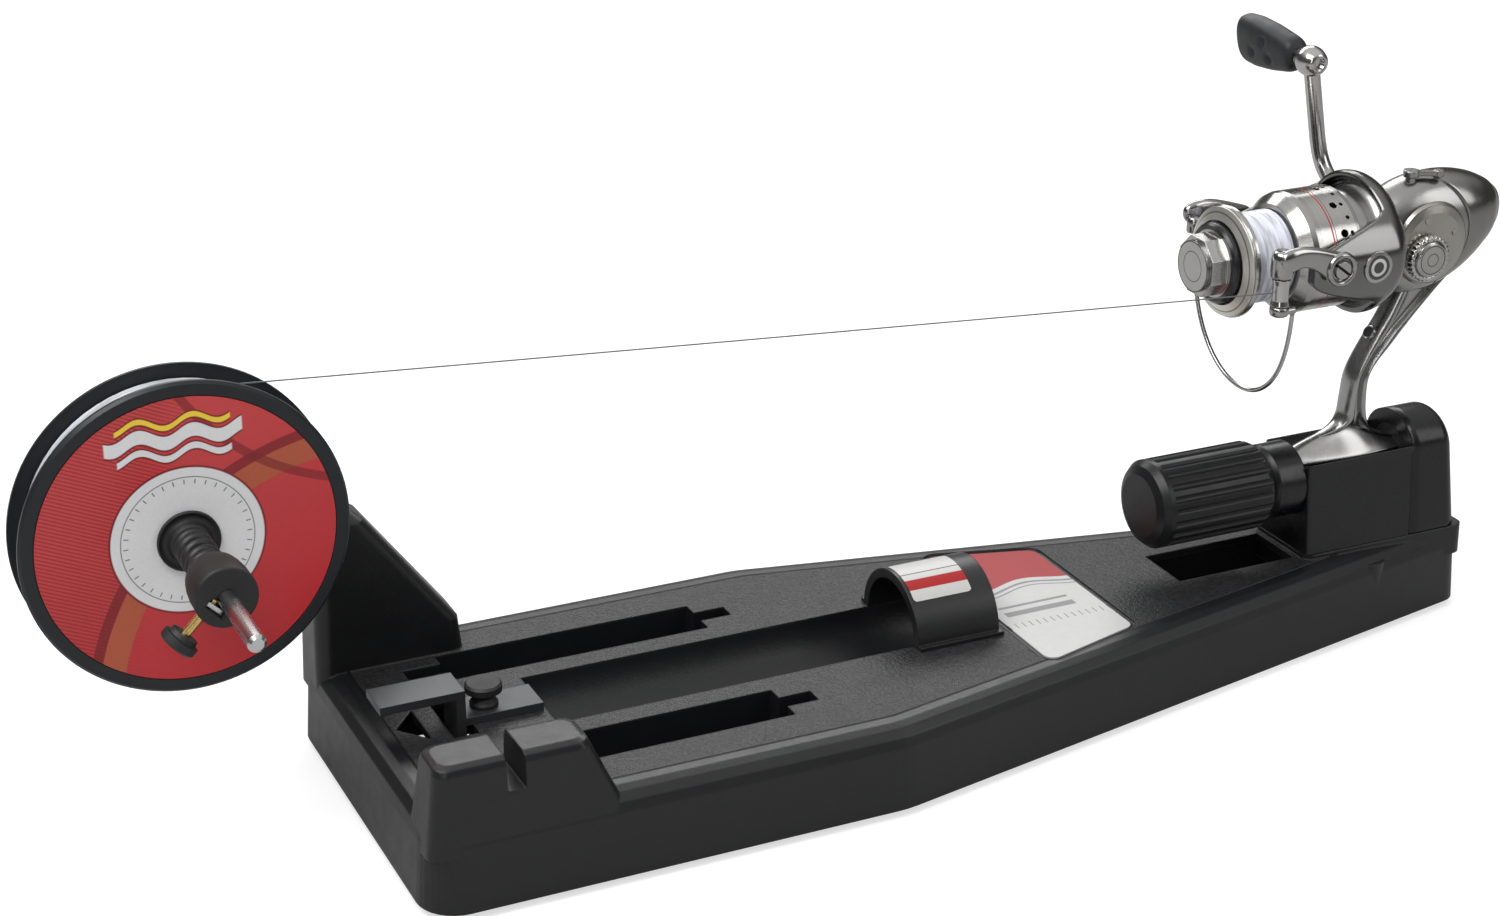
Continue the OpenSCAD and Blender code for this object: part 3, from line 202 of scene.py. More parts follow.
def plug(tree, slot, value):
    # links a socket, or sets a plain number, vector or colour
    value = getattr(value, "socket", value)
    if isinstance(value, bpy.types.NodeSocket):
        tree.links.new(value, slot)
    elif slot.type == "RGBA":
        slot.default_value = (*value[:3], 1)
    else:
        slot.default_value = value


def add(tree, kind, *placed, settings=None, **named):
    # a node with its properties set and its inputs filled, in order or by name
    node = tree.nodes.new(kind)
    for key, value in (settings or {}).items():
        setattr(node, key, value)
    byName = ((node.inputs[key], value) for key, value in named.items())
    for slot, value in (*zip(node.inputs, placed), *byName):
        plug(tree, slot, value)
    return node


class Shade:
    # a node's output with plain arithmetic: each sum or product adds one node to its tree

    def __init__(self, tree, socket):
        self.tree, self.socket = tree, socket

    def maths(self, operation, *others):
        return Shade(self.tree, add(self.tree, "ShaderNodeMath", self, *others,
                                    settings={"operation": operation}).outputs[0])

    def __add__(self, other):
        return self.maths("ADD", other)

    def __sub__(self, other):
        return self.maths("SUBTRACT", other)

    def __rsub__(self, other):
        return Shade(self.tree, add(self.tree, "ShaderNodeMath", other, self,
                                    settings={"operation": "SUBTRACT"}).outputs[0])

    def __mul__(self, other):
        return self.maths("MULTIPLY", other)

    def __truediv__(self, other):
        return self.maths("DIVIDE", other)

    def __abs__(self):
        return self.maths("ABSOLUTE")

    def scaled(self, factor, offset):
        # times a factor, plus an offset
        return self.maths("MULTIPLY_ADD", factor, offset)

    def step(self, low, high):
        # 0 below low, 1 above high, smooth between; low may lie above high to turn it round
        node = add(self.tree, "ShaderNodeMapRange", settings={"interpolation_type": "SMOOTHSTEP"},
                   **{"Value": self, "From Min": low, "From Max": high})
        return Shade(self.tree, node.outputs["Result"])

    def band(self, low, high, soft):
        # 1 between two values, with soft edges
        return self.step(low - soft, low + soft) * self.step(high + soft, high - soft)

    def ranged(self, low, high):
        # 0 to 1 becomes low to high
        node = add(self.tree, "ShaderNodeMapRange", **{"Value": self, "To Min": low, "To Max": high})
        return Shade(self.tree, node.outputs["Result"])

    def paint(self, under, over):
        # this value as a mask between two colours
        node = add(self.tree, "ShaderNodeMix", settings={"data_type": "RGBA"})
        for index, value in ((0, self), (6, under), (7, over)):
            plug(self.tree, node.inputs[index], value)
        return Shade(self.tree, node.outputs[2])


def hypotenuse(a, b):
    # root of the sum of two squares
    return (a * a + b * b).maths("SQRT")


def noise(tree, vector, scale, detail, roughness=0.5):
    node = add(tree, "ShaderNodeTexNoise", Vector=vector, Scale=scale, Detail=detail, Roughness=roughness)
    return Shade(tree, node.outputs[0])


def drawnOut(tree, vector, stretch):
    # the place times a stretch for each axis
    return add(tree, "ShaderNodeVectorMath", vector, stretch, settings={"operation": "MULTIPLY"}).outputs[0]


def tinted(tree, color, value):
    # the colour with its brightness multiplied by a value
    return add(tree, "ShaderNodeHueSaturation", Color=color, Value=value).outputs[0]


def bumped(tree, shader, height, strength, distance, edge=0):
    # a bump from the height, over edges rounded by edge metres
    bump = add(tree, "ShaderNodeBump", Strength=strength, Distance=distance, Height=height)
    if edge:
        rounded = add(tree, "ShaderNodeBevel", settings={"samples": 6}, Radius=edge)
        plug(tree, bump.inputs["Normal"], rounded.outputs[0])
    plug(tree, shader.inputs["Normal"], bump.outputs[0])


def newGroup(name, grainName, grainKind, grain):
    # both groups take a place, a grain, a colour, a gloss and its spread, and give colour, gloss and height
    group = bpy.data.node_groups.new(name, "ShaderNodeTree")
    for label, kind, value in (("Vector", "Vector", None), (grainName, grainKind, grain),
                               ("Color", "Color", (0.5, 0.5, 0.5, 1)), ("Roughness", "Float", 0.5),
                               ("Spread", "Float", 0.15)):
        socket = group.interface.new_socket(label, in_out="INPUT", socket_type="NodeSocket" + kind)
        if value is not None:
            socket.default_value = value
    for label, kind in (("Color", "Color"), ("Roughness", "Float"), ("Height", "Float")):
        group.interface.new_socket(label, in_out="OUTPUT", socket_type="NodeSocket" + kind)
    return group, group.nodes.new("NodeGroupInput").outputs, group.nodes.new("NodeGroupOutput").inputs


def makeGrainGroup():
    # moulded grain: fine noise for height, slow noise for tone and middling noise for patchy gloss
    group, given, out = newGroup("mouldedGrain", "Scale", "Float", 900.0)
    fine = noise(group, given["Vector"], given["Scale"], 3.0, 0.6)
    slow = noise(group, given["Vector"], 26.0, 4.0)
    scuff = noise(group, given["Vector"], 140.0, 5.0)
    plug(group, out["Color"], tinted(group, given["Color"], slow.ranged(0.8, 1.2)))
    plug(group, out["Roughness"], (scuff - 0.5).scaled(given["Spread"], given["Roughness"]))
    plug(group, out["Height"], fine)
    return group


def makeBrushGroup():
    # brushed metal: noise drawn out along one axis for tone, gloss and fine lines
    group, given, out = newGroup("brushedMetal", "Stretch", "Vector", (40.0, 900.0, 900.0))
    lines = noise(group, drawnOut(group, given["Vector"], given["Stretch"]), 1.0, 4.0, 0.7)
    haze = noise(group, given["Vector"], 70.0, 3.0)
    plug(group, out["Color"], tinted(group, given["Color"], lines.ranged(0.86, 1.14)))
    plug(group, out["Roughness"], (lines + haze - 1.0).scaled(given["Spread"], given["Roughness"]))
    plug(group, out["Height"], lines)
    return group


grainGroup = makeGrainGroup()
brushGroup = makeBrushGroup()


def newMaterial(name, roughness=0.5, metallic=0.0, specular=0.5, coat=0.0, coatRoughness=0.1):
    mat = bpy.data.materials.new(name)
    mat.use_nodes = True
    tree = mat.node_tree
    shader = tree.nodes["Principled BSDF"]
    for label, value in (("Roughness", roughness), ("Metallic", metallic), ("Specular IOR Level", specular),
                         ("Coat Weight", coat), ("Coat Roughness", coatRoughness)):
        shader.inputs[label].default_value = value
    return mat, tree, shader, tree.nodes.new("ShaderNodeTexCoord").outputs["Object"]


def addSurface(tree, group, coords, grain, color, roughness, spread):
    node = add(tree, "ShaderNodeGroup", settings={"node_tree": group})
    for slot, value in zip(node.inputs, (coords, grain, color, roughness, spread)):
        plug(tree, slot, value)
    return node.outputs


def stationAxis(tree, xyz, k, middle=0.0):
    # one coordinate in station millimetres, measured from a middle
    return Shade(tree, xyz[k]).scaled(1000.0, float(stationOrigin[k] - middle))


def wear(node, mat):
    # a CAD node keeps its mesh and takes one material
    mesh = cadNodes[node].data
    mesh.materials.clear()
    mesh.materials.append(mat)
    mesh.polygons.foreach_set("material_index", np.zeros(len(mesh.polygons), int))


# Finishes

plastics = {
    # material, colour, roughness, grain scale, bump, gloss spread, edge in metres, specular, CAD nodes
    "glossBlack": ("seatBlack", (0.006, 0.0064, 0.0075), 0.27, 700, 0.06, 0.2, 0.0007, 0.4, "sliding_hood"),
    "archBlack": ("archBlack", (0.008, 0.0083, 0.0092), 0.38, 800, 0.1, 0.2, 0.0006, 0.5, "rod_arch"),
    "knobBlack": ("knobBlack", (0.006, 0.0064, 0.0073), 0.36, 900, 0.12, 0.2, 0.0004, 0.34, "clamp_knob"),
    "rubber": ("footRubber", (0.012, 0.012, 0.012), 0.75, 1200, 0.4, 0.1, 0.0005, 0.5, "feet"),
    "trimBlack": ("trimBlack", (0.010, 0.010, 0.0105), 0.55, 1000, 0.25, 0.2, 0.0003, 0.5,
                  "clamp_screw collar_screw_head back_stop"),
    "slate": ("spoolSlate", (0.0125, 0.0142, 0.0168), 0.36, 500, 0.06, 0.2, 0.0004, 0.36, "filler_spool"),
    "fibre": ("dragFibre", (0.03, 0.03, 0.032), 0.8, 1500, 0.5, 0.15, 0.0005, 0.5, "drag_washers"),
    "springBlack": ("springBlack", (0.012, 0.012, 0.0125), 0.45, 900, 0.2, 0.15, 0, 0.5, ""),
    "gripRubber": ("gripRubber", (0.013, 0.0142, 0.016), 0.5, 1100, 0.25, 0.15, 0, 0.5, ""),
}
metals = {
    # material, colour, roughness, stretch of the brush lines, bump, gloss spread, edge, metallic, CAD nodes
    "plateGrey": ("plateGrey", (0.070, 0.072, 0.076), 0.4, (900, 60, 900), 0.06, 0.15, 0.0004, 0.7,
                  "clamp_plate"),
    "steelRod": ("steelRod", (0.58, 0.58, 0.59), 0.24, (60, 20, 60), 0.0, 0.1, 0, 1, "spool_arm"),
    "steel": ("steel", (0.60, 0.60, 0.61), 0.28, (60, 900, 900), 0.06, 0.15, 0.0004, 1,
              "seat_stud seat_screws square_nut main_shaft crank_shaft crank_bearing rotor_bearing "
              "stem_screw rotor_nut grip_pin"),
    "brass": ("screwBrass", (0.72, 0.50, 0.18), 0.25, (900, 60, 900), 0.06, 0.15, 0.0004, 1,
              "collar_screw drive_gear pinion_gear"),
    "satinNickel": ("satinNickel", (0.33, 0.326, 0.32), 0.27, (30, 45, 30), 0.02, 0.12, 0.0009, 1,
                    "anti_reverse_lever crosshead"),
    "darkNickel": ("darkNickel", (0.18, 0.178, 0.175), 0.17, (24, 24, 24), 0.01, 0.08, 0.0012, 1, ""),
    "rearNickel": ("rearNickel", (0.26, 0.254, 0.241), 0.19, (60, 40, 40), 0.02, 0.12, 0.0004, 1, ""),
    "polishedNickel": ("polishedNickel", (0.37, 0.365, 0.357), 0.14, (30, 30, 30), 0.01, 0.08, 0.0008, 1, ""),
    "stemNickel": ("stemNickel", (0.37, 0.366, 0.362), 0.25, (90, 90, 90), 0.01, 0.12, 0, 1, ""),
    "wireNickel": ("wireNickel", (0.46, 0.455, 0.445), 0.2, (40, 40, 40), 0.0, 0.1, 0, 1, ""),
    "brightNickel": ("brightNickel", (0.50, 0.49, 0.475), 0.15, (40, 90, 90), 0.02, 0.08, 0.0004, 1,
                     "line_roller"),
}
finishes = {}


def makeFinish(group, depth, name, color, roughness, grain, bump, spread, edge, metallic, specular):
    # a group's colour and gloss go to the shader, its height to the bump
    mat, tree, shader, coords = newMaterial(name, roughness, metallic, specular)
    surface = addSurface(tree, group, coords, grain, color, roughness, spread)
    for label in ("Color", "Roughness"):
        plug(tree, shader.inputs["Base Color" if label == "Color" else label], surface[label])
    bumped(tree, shader, surface["Height"], bump, depth, edge)
    return mat


for finish, (*row, specular, worn) in plastics.items():
    finishes[finish] = makeFinish(grainGroup, 0.0002, *row, 0.0, specular)
    for node in worn.split():
        wear(node, finishes[finish])
for finish, (*row, metallic, worn) in metals.items():
    finishes[finish] = makeFinish(brushGroup, 0.0001, *row, metallic, 0.5)
    for node in worn.split():
        wear(node, finishes[finish])
print("finishes set")

# Stage: pale floor, soft lamps, a room that is bright above and dim around, white to the camera

studio = {
    "floor": (0.46, 0.46, 0.46), "floorLift": 0.64, "floorSide": 6.0,
    "room": (0.10, 0.85),           # strength at the horizon and overhead
    "bright": (0.30, 0.90),         # heights of direction between which the room brightens
    "lamps": [   # name, place, aim (metres), size, watts
        ("keySoft", (-0.70, -0.20, 1.25), (0.0, 0.0, 0.05), (1.1, 0.7), 15.0),
        ("fillSoft", (1.05, -1.00, 0.75), (0.15, 0.0, 0.12), (0.5, 0.9), 3.5),
        ("backSoft", (0.35, 1.10, 0.90), (0.1, 0.0, 0.10), (1.4, 0.5), 9.0),
        ("stripSoft", (-0.55, -0.95, 0.62), (0.2, 0.0, 0.15), (0.18, 0.7), 1.6),
    ],
}


def makeStage():
    # the room's strength rises from dim to full with the height of the direction; to the camera it is white
    side = np.array((-1, 1)) * studio["floorSide"]
    corners = np.stack(np.broadcast_arrays(side[:, None], side[::-1], 0.0), -1)
    floor = gridPiece("floor", corners, closeCols=False, caps=False, smooth=False)
    mat, tree, shader, _ = newMaterial("paleFloor", 0.9, specular=0.0)
    shader.inputs["Base Color"].default_value = (*studio["floor"], 1)
    shader.inputs["Emission Color"].default_value = (1, 1, 1, 1)
    path = Shade(tree, tree.nodes.new("ShaderNodeLightPath").outputs["Is Camera Ray"])
    plug(tree, shader.inputs["Emission Strength"], path * studio["floorLift"])
    floor.data.materials.append(mat)
    for name, spot, aim, size, watts in studio["lamps"]:
        data = bpy.data.lights.new(name, "AREA")
        data.shape, data.size, data.size_y, data.energy = "RECTANGLE", *size, watts
        addObject(name, data).matrix_world = Matrix.Translation(spot) @ aimed(Vector(aim) - Vector(spot))
    world = bpy.context.scene.world = bpy.data.worlds.new("softRoom")
    world.use_nodes = True
    tree = world.node_tree
    back = tree.nodes["Background"]
    way = add(tree, "ShaderNodeSeparateXYZ", add(tree, "ShaderNodeTexCoord").outputs["Generated"]).outputs[2]
    dim, full = studio["room"]
    room = Shade(tree, way).step(*studio["bright"]).scaled(full - dim, dim)
    path = tree.nodes.new("ShaderNodeLightPath").outputs
    seen = Shade(tree, path["Is Camera Ray"]).maths("MAXIMUM", path["Is Transmission Ray"])
    plug(tree, back.inputs["Strength"], room.maths("MAXIMUM", seen))
    back.inputs["Color"].default_value = (1, 1, 1, 1)


makeStage()
print("stage set")

# Taut line between the filler spool and the bail's roller

rodAxis = (-48.0, 108.5)        # X and Z of the filler spool's rod
reelAxis = 151.0                # height of the reel's rotor and spool
crankAxis = (417.0, 146.5)      # X and Z of the crank
lineFacts = {"from": (-44.0, 20.0, 156.4), "to": (339.6, -28.5, 147.6), "diameter": 0.5, "sag": 0.25,
             "points": 24}


def nylon(name, color, roughness, lay=(160.0, 160.0, 160.0), contrast=0.86):
    # clear line: a bright core under a thin gloss skin, its tone in streaks along the lay of the turns
    mat, tree, shader, coords = newMaterial(name, roughness, specular=0.6, coat=0.4, coatRoughness=0.08)
    streak = noise(tree, drawnOut(tree, coords, lay), 1.0, 3.0)
    dim = tuple(c * contrast for c in color)
    plug(tree, shader.inputs["Base Color"], streak.step(0.36, 0.62).paint(dim, color))
    return mat


def makeLine():
    # straight run with a slight even sag: height drops by 4 s t (1 - t)
    t = np.linspace(0, 1, lineFacts["points"])[:, None]
    start, end = np.array(lineFacts["from"]), np.array(lineFacts["to"])
    path = start + (end - start) * t
    path[:, 2] -= 4 * lineFacts["sag"] * (t * (1 - t))[:, 0]
    path = place(path)
    data = bpy.data.curves.new("tautLine", "CURVE")
    data.dimensions = "3D"
    data.bevel_depth = lineFacts["diameter"] / 2000
    data.bevel_resolution = 3
    data.use_fill_caps = True
    spline = data.splines.new("POLY")
    spline.points.add(len(path) - 1)
    spline.points.foreach_set("co", np.hstack([path, np.ones((len(path), 1))]).ravel())
    obj = dressPiece(addObject("tautLine", data), nylon("tautLine", (0.10, 0.103, 0.11), 0.35), "station",
                     "clear_nylon", "line")


makeLine()
print("line strung")

# Wound line and the brake spring

fillerWinding = {"radius": 49.4, "from": 12.8, "to": 27.2, "thick": 0.45, "perTurn": 64, "wander": 0.12}
reelWinding = {"radius": 17.0, "from": 341.4, "to": 357.6, "thick": 0.42, "perTurn": 48, "wander": 0.15}
windingSides, windingPitch = 6, 1.04      # sides of the line, turn spacing as a share of its thickness
springFacts = {"radius": 4.85, "wire": 3.2, "from": 6.7, "to": -18.1, "curls": 5, "perTurn": 40, "sides": 14,
               "close": 0.035}


def helix(radius, along, turn):
    # a point goes round the Y axis at a radius, by the turn, and lies at its own place along the axis
    return np.stack([radius * np.cos(turn), along, radius * np.sin(turn)], -1)


def windingGrid(facts):
    # a helix whose turns lie side by side, its radius rising and falling a little from turn to turn
    thick = facts["thick"]
    start, long = facts["from"] + thick / 2, facts["to"] - facts["from"] - thick
    turns = long / (thick * windingPitch)
    t = np.linspace(0, 1, int(turns * facts["perTurn"]) + 1)
    count = t * turns
    swell = 1 - facts["wander"] * (0.5 + 0.5 * np.sin(count * 2.1) * np.cos(count * 0.37)) / facts["radius"]
    path = helix((facts["radius"] - thick / 2) * swell, start + long * t, count * tau)
    return tubeGrid(path, thick / 2, windingSides, (0, 1, 0))


def makeWindings():
    # the filler's helix lies about the rod; the reel's is turned from the Y axis to the X axis
    grid = windingGrid(fillerWinding) + np.array((rodAxis[0], 0, rodAxis[1]))
    mat = nylon("fillerNylon", (0.56, 0.59, 0.63), 0.3, (50.0, 500.0, 50.0), 0.55)
    makePiece("fillerLine", grid, mat, "filler_spool", "clear_nylon", "filler_winding")
    grid = windingGrid(reelWinding)[..., [1, 0, 2]] + np.array((0, 0, reelAxis))
    mat = nylon("reelNylon", (0.76, 0.78, 0.86), 0.26, (600.0, 75.0, 75.0), 0.6)
    makePiece("reelLine", grid[:, ::-1], mat, "reel_spool", "clear_nylon", "reel_winding")
    wear("filler_core", nylon("fillerCore", (0.74, 0.76, 0.78), 0.4))
    wear("reel_core", nylon("reelCore", (0.70, 0.73, 0.82), 0.4))


def makeSpring():
    # a helix of round wire whose end turns close up: its place along the rod is t less a sine of t
    curls, wire = springFacts["curls"], springFacts["wire"]
    t = np.linspace(0, 1, curls * springFacts["perTurn"] + 1)
    eased = t - springFacts["close"] * np.sin(tau * t)
    along = springFacts["from"] - wire / 2 + (springFacts["to"] - springFacts["from"] + wire) * eased
    path = helix(springFacts["radius"], along, t * curls * tau)
    grid = tubeGrid(path, wire / 2, springFacts["sides"], (0, 1, 0)) + np.array((rodAxis[0], 0, rodAxis[1]))
    makePiece("brakeSpring", grid, "springBlack", "tensioner", "spring_steel_black", "tension_spring")


makeWindings()
makeSpring()
print("windings and spring wound")

# Base moulding: grained deck inside a fine line, smooth rim and sides

baseFacts = {
    "color": (0.0075, 0.0079, 0.009), "lineColor": (0.004, 0.004, 0.0045), "roughness": (0.36, 0.06),
    "speck": ((0.009, 0.0093, 0.010), (0.024, 0.0245, 0.026)), "grain": 800.0, "spread": 0.16,
    "deckTop": 33.0, "halfWidth": 73.75, "kink": (175.7, 72.99), "slope": 0.2035, "deckInset": 12.6,
    "lineWidth": 0.55,
}


def makeBaseMaterial():
    # distance in from the outline is the least of those to the wide sides, the tapered sides and the left end
    mat, tree, shader, coords = newMaterial("baseBlack", 0.42, specular=0.44)
    xyz = add(tree, "ShaderNodeSeparateXYZ", coords).outputs
    along, across = stationAxis(tree, xyz, 0), abs(stationAxis(tree, xyz, 1))
    level = Shade(tree, xyz[2]) * 1000.0
    kinkAt, kinkHalf = baseFacts["kink"]
    taper = kinkHalf - (along - kinkAt) * baseFacts["slope"] - across
    inside = (baseFacts["halfWidth"] - across).maths("MINIMUM", taper).maths("MINIMUM", along)
    deckTop, inset = baseFacts["deckTop"], baseFacts["deckInset"]
    top = level.step(deckTop - 0.4, deckTop - 0.05) * level.step(deckTop + 0.5, deckTop + 0.2)
    deck = top * inside.step(inset, inset + 0.3)
    groove = top * abs(inside - inset).step(baseFacts["lineWidth"], 0.1)
    smooth, rougher = baseFacts["roughness"]
    surface = addSurface(tree, grainGroup, coords, baseFacts["grain"], baseFacts["color"], smooth,
                         baseFacts["spread"])
    grain = Shade(tree, surface["Height"])
    rim = groove.paint(surface["Color"], baseFacts["lineColor"])
    plug(tree, shader.inputs["Base Color"], deck.paint(rim, grain.step(0.35, 0.7).paint(*baseFacts["speck"])))
    plug(tree, shader.inputs["Roughness"], deck.scaled(rougher, surface["Roughness"]))
    bumped(tree, shader, grain * deck.scaled(1.0, 0.16) - groove * 2.0, 0.8, 0.0005, 0.0012)
    return mat


wear("base_shell", makeBaseMaterial())
print("base finished")

# Printed labels, with plain motifs of their own

fillerLabel = {
    "red": (0.50, 0.022, 0.029), "deep": (0.20, 0.008, 0.011), "paintedLitRed": (0.57, 0.055, 0.058),
    "orange": (0.44, 0.09, 0.04), "white": (0.74, 0.74, 0.75), "yellow": (0.85, 0.62, 0.05),
    "dial": (0.25, 0.25, 0.26), "tick": (0.2, 0.2, 0.21), "stripePitch": 1.35, "waveHeight": 36.0,
    "ticks": 36,
    # arcs: middle, inner and outer radius, share of the ink, ink
    "arcs": [(58, -62, 84, 92, 1, "orange"), (58, -62, 92, 95.5, 0.85, "deep"),
             (70, 92, 80, 83, 0.7, "deep")],
    "waves": [(0.0, 2.3, "white"), (-5.4, 1.1, "white"), (5.2, 0.9, "yellow")],     # lift, half width, ink
    "rounds": [(-1, 25.7, 0.25, "deep"), (-1, 25.0, 0.25, "white"), (21.6, 22.0, 0.1, "dial")],
}
infoLabel = {
    "white": (0.47, 0.47, 0.465), "red": (0.30, 0.012, 0.015), "grey": (0.20, 0.20, 0.21),
    "waves": [(3.4, 0.7), (6.2, 0.4)], "bars": [(-11.5, -8.0), (-5.0, -3.4)], "barSpan": (67.9, 97.1),
    "tickRow": (-20.9, -17.1), "tickPitch": 3.0,
}


def printed(tree, shader, coords, color, scale, detail, tone, bump):
    # ink on paper: fine noise shifts the colour's tone and gives the bump
    paper = noise(tree, coords, scale, detail)
    plug(tree, shader.inputs["Base Color"], tinted(tree, color, paper.ranged(*tone)))
    bumped(tree, shader, paper, bump, 0.0001)


def makeFillerLabel():
    # each motif is a mask in u and v, the millimetres across and up from the rod
    mat, tree, shader, coords = newMaterial("fillerLabel", 0.34, specular=0.35, coat=0.15, coatRoughness=0.2)
    xyz = add(tree, "ShaderNodeSeparateXYZ", coords).outputs
    u, v = stationAxis(tree, xyz, 0, rodAxis[0]), stationAxis(tree, xyz, 2, rodAxis[1])

    def ring(cx, cz, low, high, soft=0.25):
        # 1 between two radii about a point of the label
        return hypotenuse(u - cx, v - cz).band(low, high, soft)

    # fine slanted lines over the left and lower part
    saw = ((u * 0.45 + v + 200.0) / fillerLabel["stripePitch"]).maths("FRACT")
    lines = saw.step(0.42, 0.58) * saw.step(1.0, 0.86)
    field = (u + v * -0.3).step(-4.0, -22.0)
    # painted light: the base red turns lighter towards the upper left, where the lamp falls
    color = (v - u * 0.5).step(-60.0, 60.0).paint(fillerLabel["red"], fillerLabel["paintedLitRed"])
    color = (lines * field * 0.55).paint(color, fillerLabel["deep"])
    for cx, cz, low, high, share, ink in fillerLabel["arcs"]:
        mask = ring(cx, cz, low, high)
        color = (mask * share if share < 1 else mask).paint(color, fillerLabel[ink])
    # wave ribbons across the top, each on a deep edge
    for lift, half, ink in fillerLabel["waves"]:
        middle = (u * 0.36).maths("SINE") * 1.7 + (fillerLabel["waveHeight"] + lift)
        off, short = abs(v - middle), abs(lift) * 0.7
        reach = abs(u + 2.0).step(22.5 - short, 21.9 - short)
        color = (off.step(half + 0.8, half + 0.3) * reach).paint(color, fillerLabel["deep"])
        color = (off.step(half + 0.15, half - 0.15) * reach).paint(color, fillerLabel[ink])
    # white round about the hub with a grey dial ring and its ticks
    for low, high, soft, ink in fillerLabel["rounds"]:
        color = ring(0, 0, low, high, soft).paint(color, fillerLabel[ink])
    tick = ((v.maths("ARCTAN2", u) + 7.0) * (fillerLabel["ticks"] / tau)).maths("FRACT")
    color = (tick.step(0.14, 0.1) * ring(0, 0, 19.4, 21.0, 0.1)).paint(color, fillerLabel["tick"])
    printed(tree, shader, coords, color, 900.0, 3.0, (0.94, 1.06), 0.05)
    return mat


def makeInfoLabel():
    # a red field at the back end under a slow wave, thin grey waves beside it, a tick scale and two bars
    mat, tree, shader, coords = newMaterial("infoLabel", 0.4, specular=0.25, coat=0.06, coatRoughness=0.2)
    xyz = add(tree, "ShaderNodeSeparateXYZ", coords).outputs
    along, across = Shade(tree, xyz[0]) * 1000.0, stationAxis(tree, xyz, 1)
    lineAt = across - ((along * 0.16).maths("SINE") * 2.4 + 13.0)
    color = lineAt.step(-0.2, 0.2).paint(infoLabel["white"], infoLabel["red"])
    for shift, half in infoLabel["waves"]:
        color = abs(lineAt + shift).step(half + 0.15, half - 0.15).paint(color, infoLabel["grey"])
    tick = ((along + 500.0) / infoLabel["tickPitch"]).maths("FRACT")
    color = (tick.step(0.2, 0.14) * across.band(*infoLabel["tickRow"], 0.1)).paint(color, infoLabel["grey"])
    for low, high in infoLabel["bars"]:
        bar = across.band(low, high, 0.1) * along.band(*infoLabel["barSpan"], 0.1)
        color = bar.paint(color, infoLabel["grey"])
    printed(tree, shader, coords, color, 300.0, 4.0, (0.93, 1.05), 0.04)
    return mat


labelMaterial = makeFillerLabel()
wear("filler_label", labelMaterial)
wear("info_label", makeInfoLabel())
print("labels printed")

# Crank: bent arm, socket and paddle grip, in a frame that leans with the handle

crankFacts = {
    "lean": 11.0, "reach": 62.0, "armHalf": (3.3, 2.7), "armGrid": (60, 28),
    "armPath": [(0, 27.5, 0), (0, 31, 3.2), (0, 36.4, 8.6), (0, 42, 14.4), (0, 46.2, 20.4), (0, 47.8, 28),
                (0, 48, 38), (0, 48, 48), (0, 48, 59)],
    "hub": [(24.4, 0), (24.4, 5.6), (24.9, 6.3), (26.0, 6.5), (31.0, 6.5), (32.6, 5.8), (33.6, 4.3),
            (33.8, 0)],
    "socket": [(45.0, 0), (44.8, 2.0), (42.4, 2.1), (42.1, 2.6), (42.2, 3.6), (43.4, 4.6), (44.8, 5.2),
               (46.4, 5.8), (48.0, 6.0), (49.8, 5.8), (51.6, 5.1), (52.6, 4.7), (54.2, 4.6), (54.2, 0)],
}
gripFacts = {
    "from": 54.4, "long": 40.0, "at": (0.0, 0.12, 0.42, 0.68, 0.88, 1.0), "grid": (90, 72), "square": 2.6,
    "blur": 9, "halfWidth": (5.8, 7.0, 9.2, 10.2, 9.8, 7.2), "halfThick": (5.4, 5.6, 6.0, 5.9, 5.2, 3.6),
    "dimples": [(14.5, -3.0), (18.0, 3.6), (25.5, -2.4)], "dimpleRadius": 2.2, "dimpleDepth": 1.6,
}


def leaned(points):
    # turns crank-frame points by the handle's lean about the crank axis, and moves them there
    a = math.radians(crankFacts["lean"])
    x, y, z = np.moveaxis(np.asarray(points, float), -1, 0)
    return np.stack([crankAxis[0] + x * math.cos(a) - z * math.sin(a), y,
                     crankAxis[1] + x * math.sin(a) + z * math.cos(a)], -1)


def makeCrank():
    # arm: an oval carried along the bent path; hub and socket: turned profiles about the crank's own axes
    rows, sides = crankFacts["armGrid"]
    path, turn = smoothPath(crankFacts["armPath"], rows), fullTurn(sides)
    side, rise = frames(path, (1, 0, 0))
    wide, thin = crankFacts["armHalf"]
    arm = (path[:, None] + rise[:, None] * (wide * np.cos(turn))[None, :, None]
           + side[:, None] * (thin * np.sin(turn))[None, :, None])
    makePiece("crankArm", leaned(arm), "brightNickel", "crank", "satin_nickel", "crank_arm")
    for name, profile, height in (("crankHub", "hub", 0), ("crankSocket", "socket", crankFacts["reach"])):
        grid = turnedGrid(crankFacts[profile], "Y", (0, height))
        makePiece(name, leaned(grid), "brightNickel", "crank", "satin_nickel", caps=False)


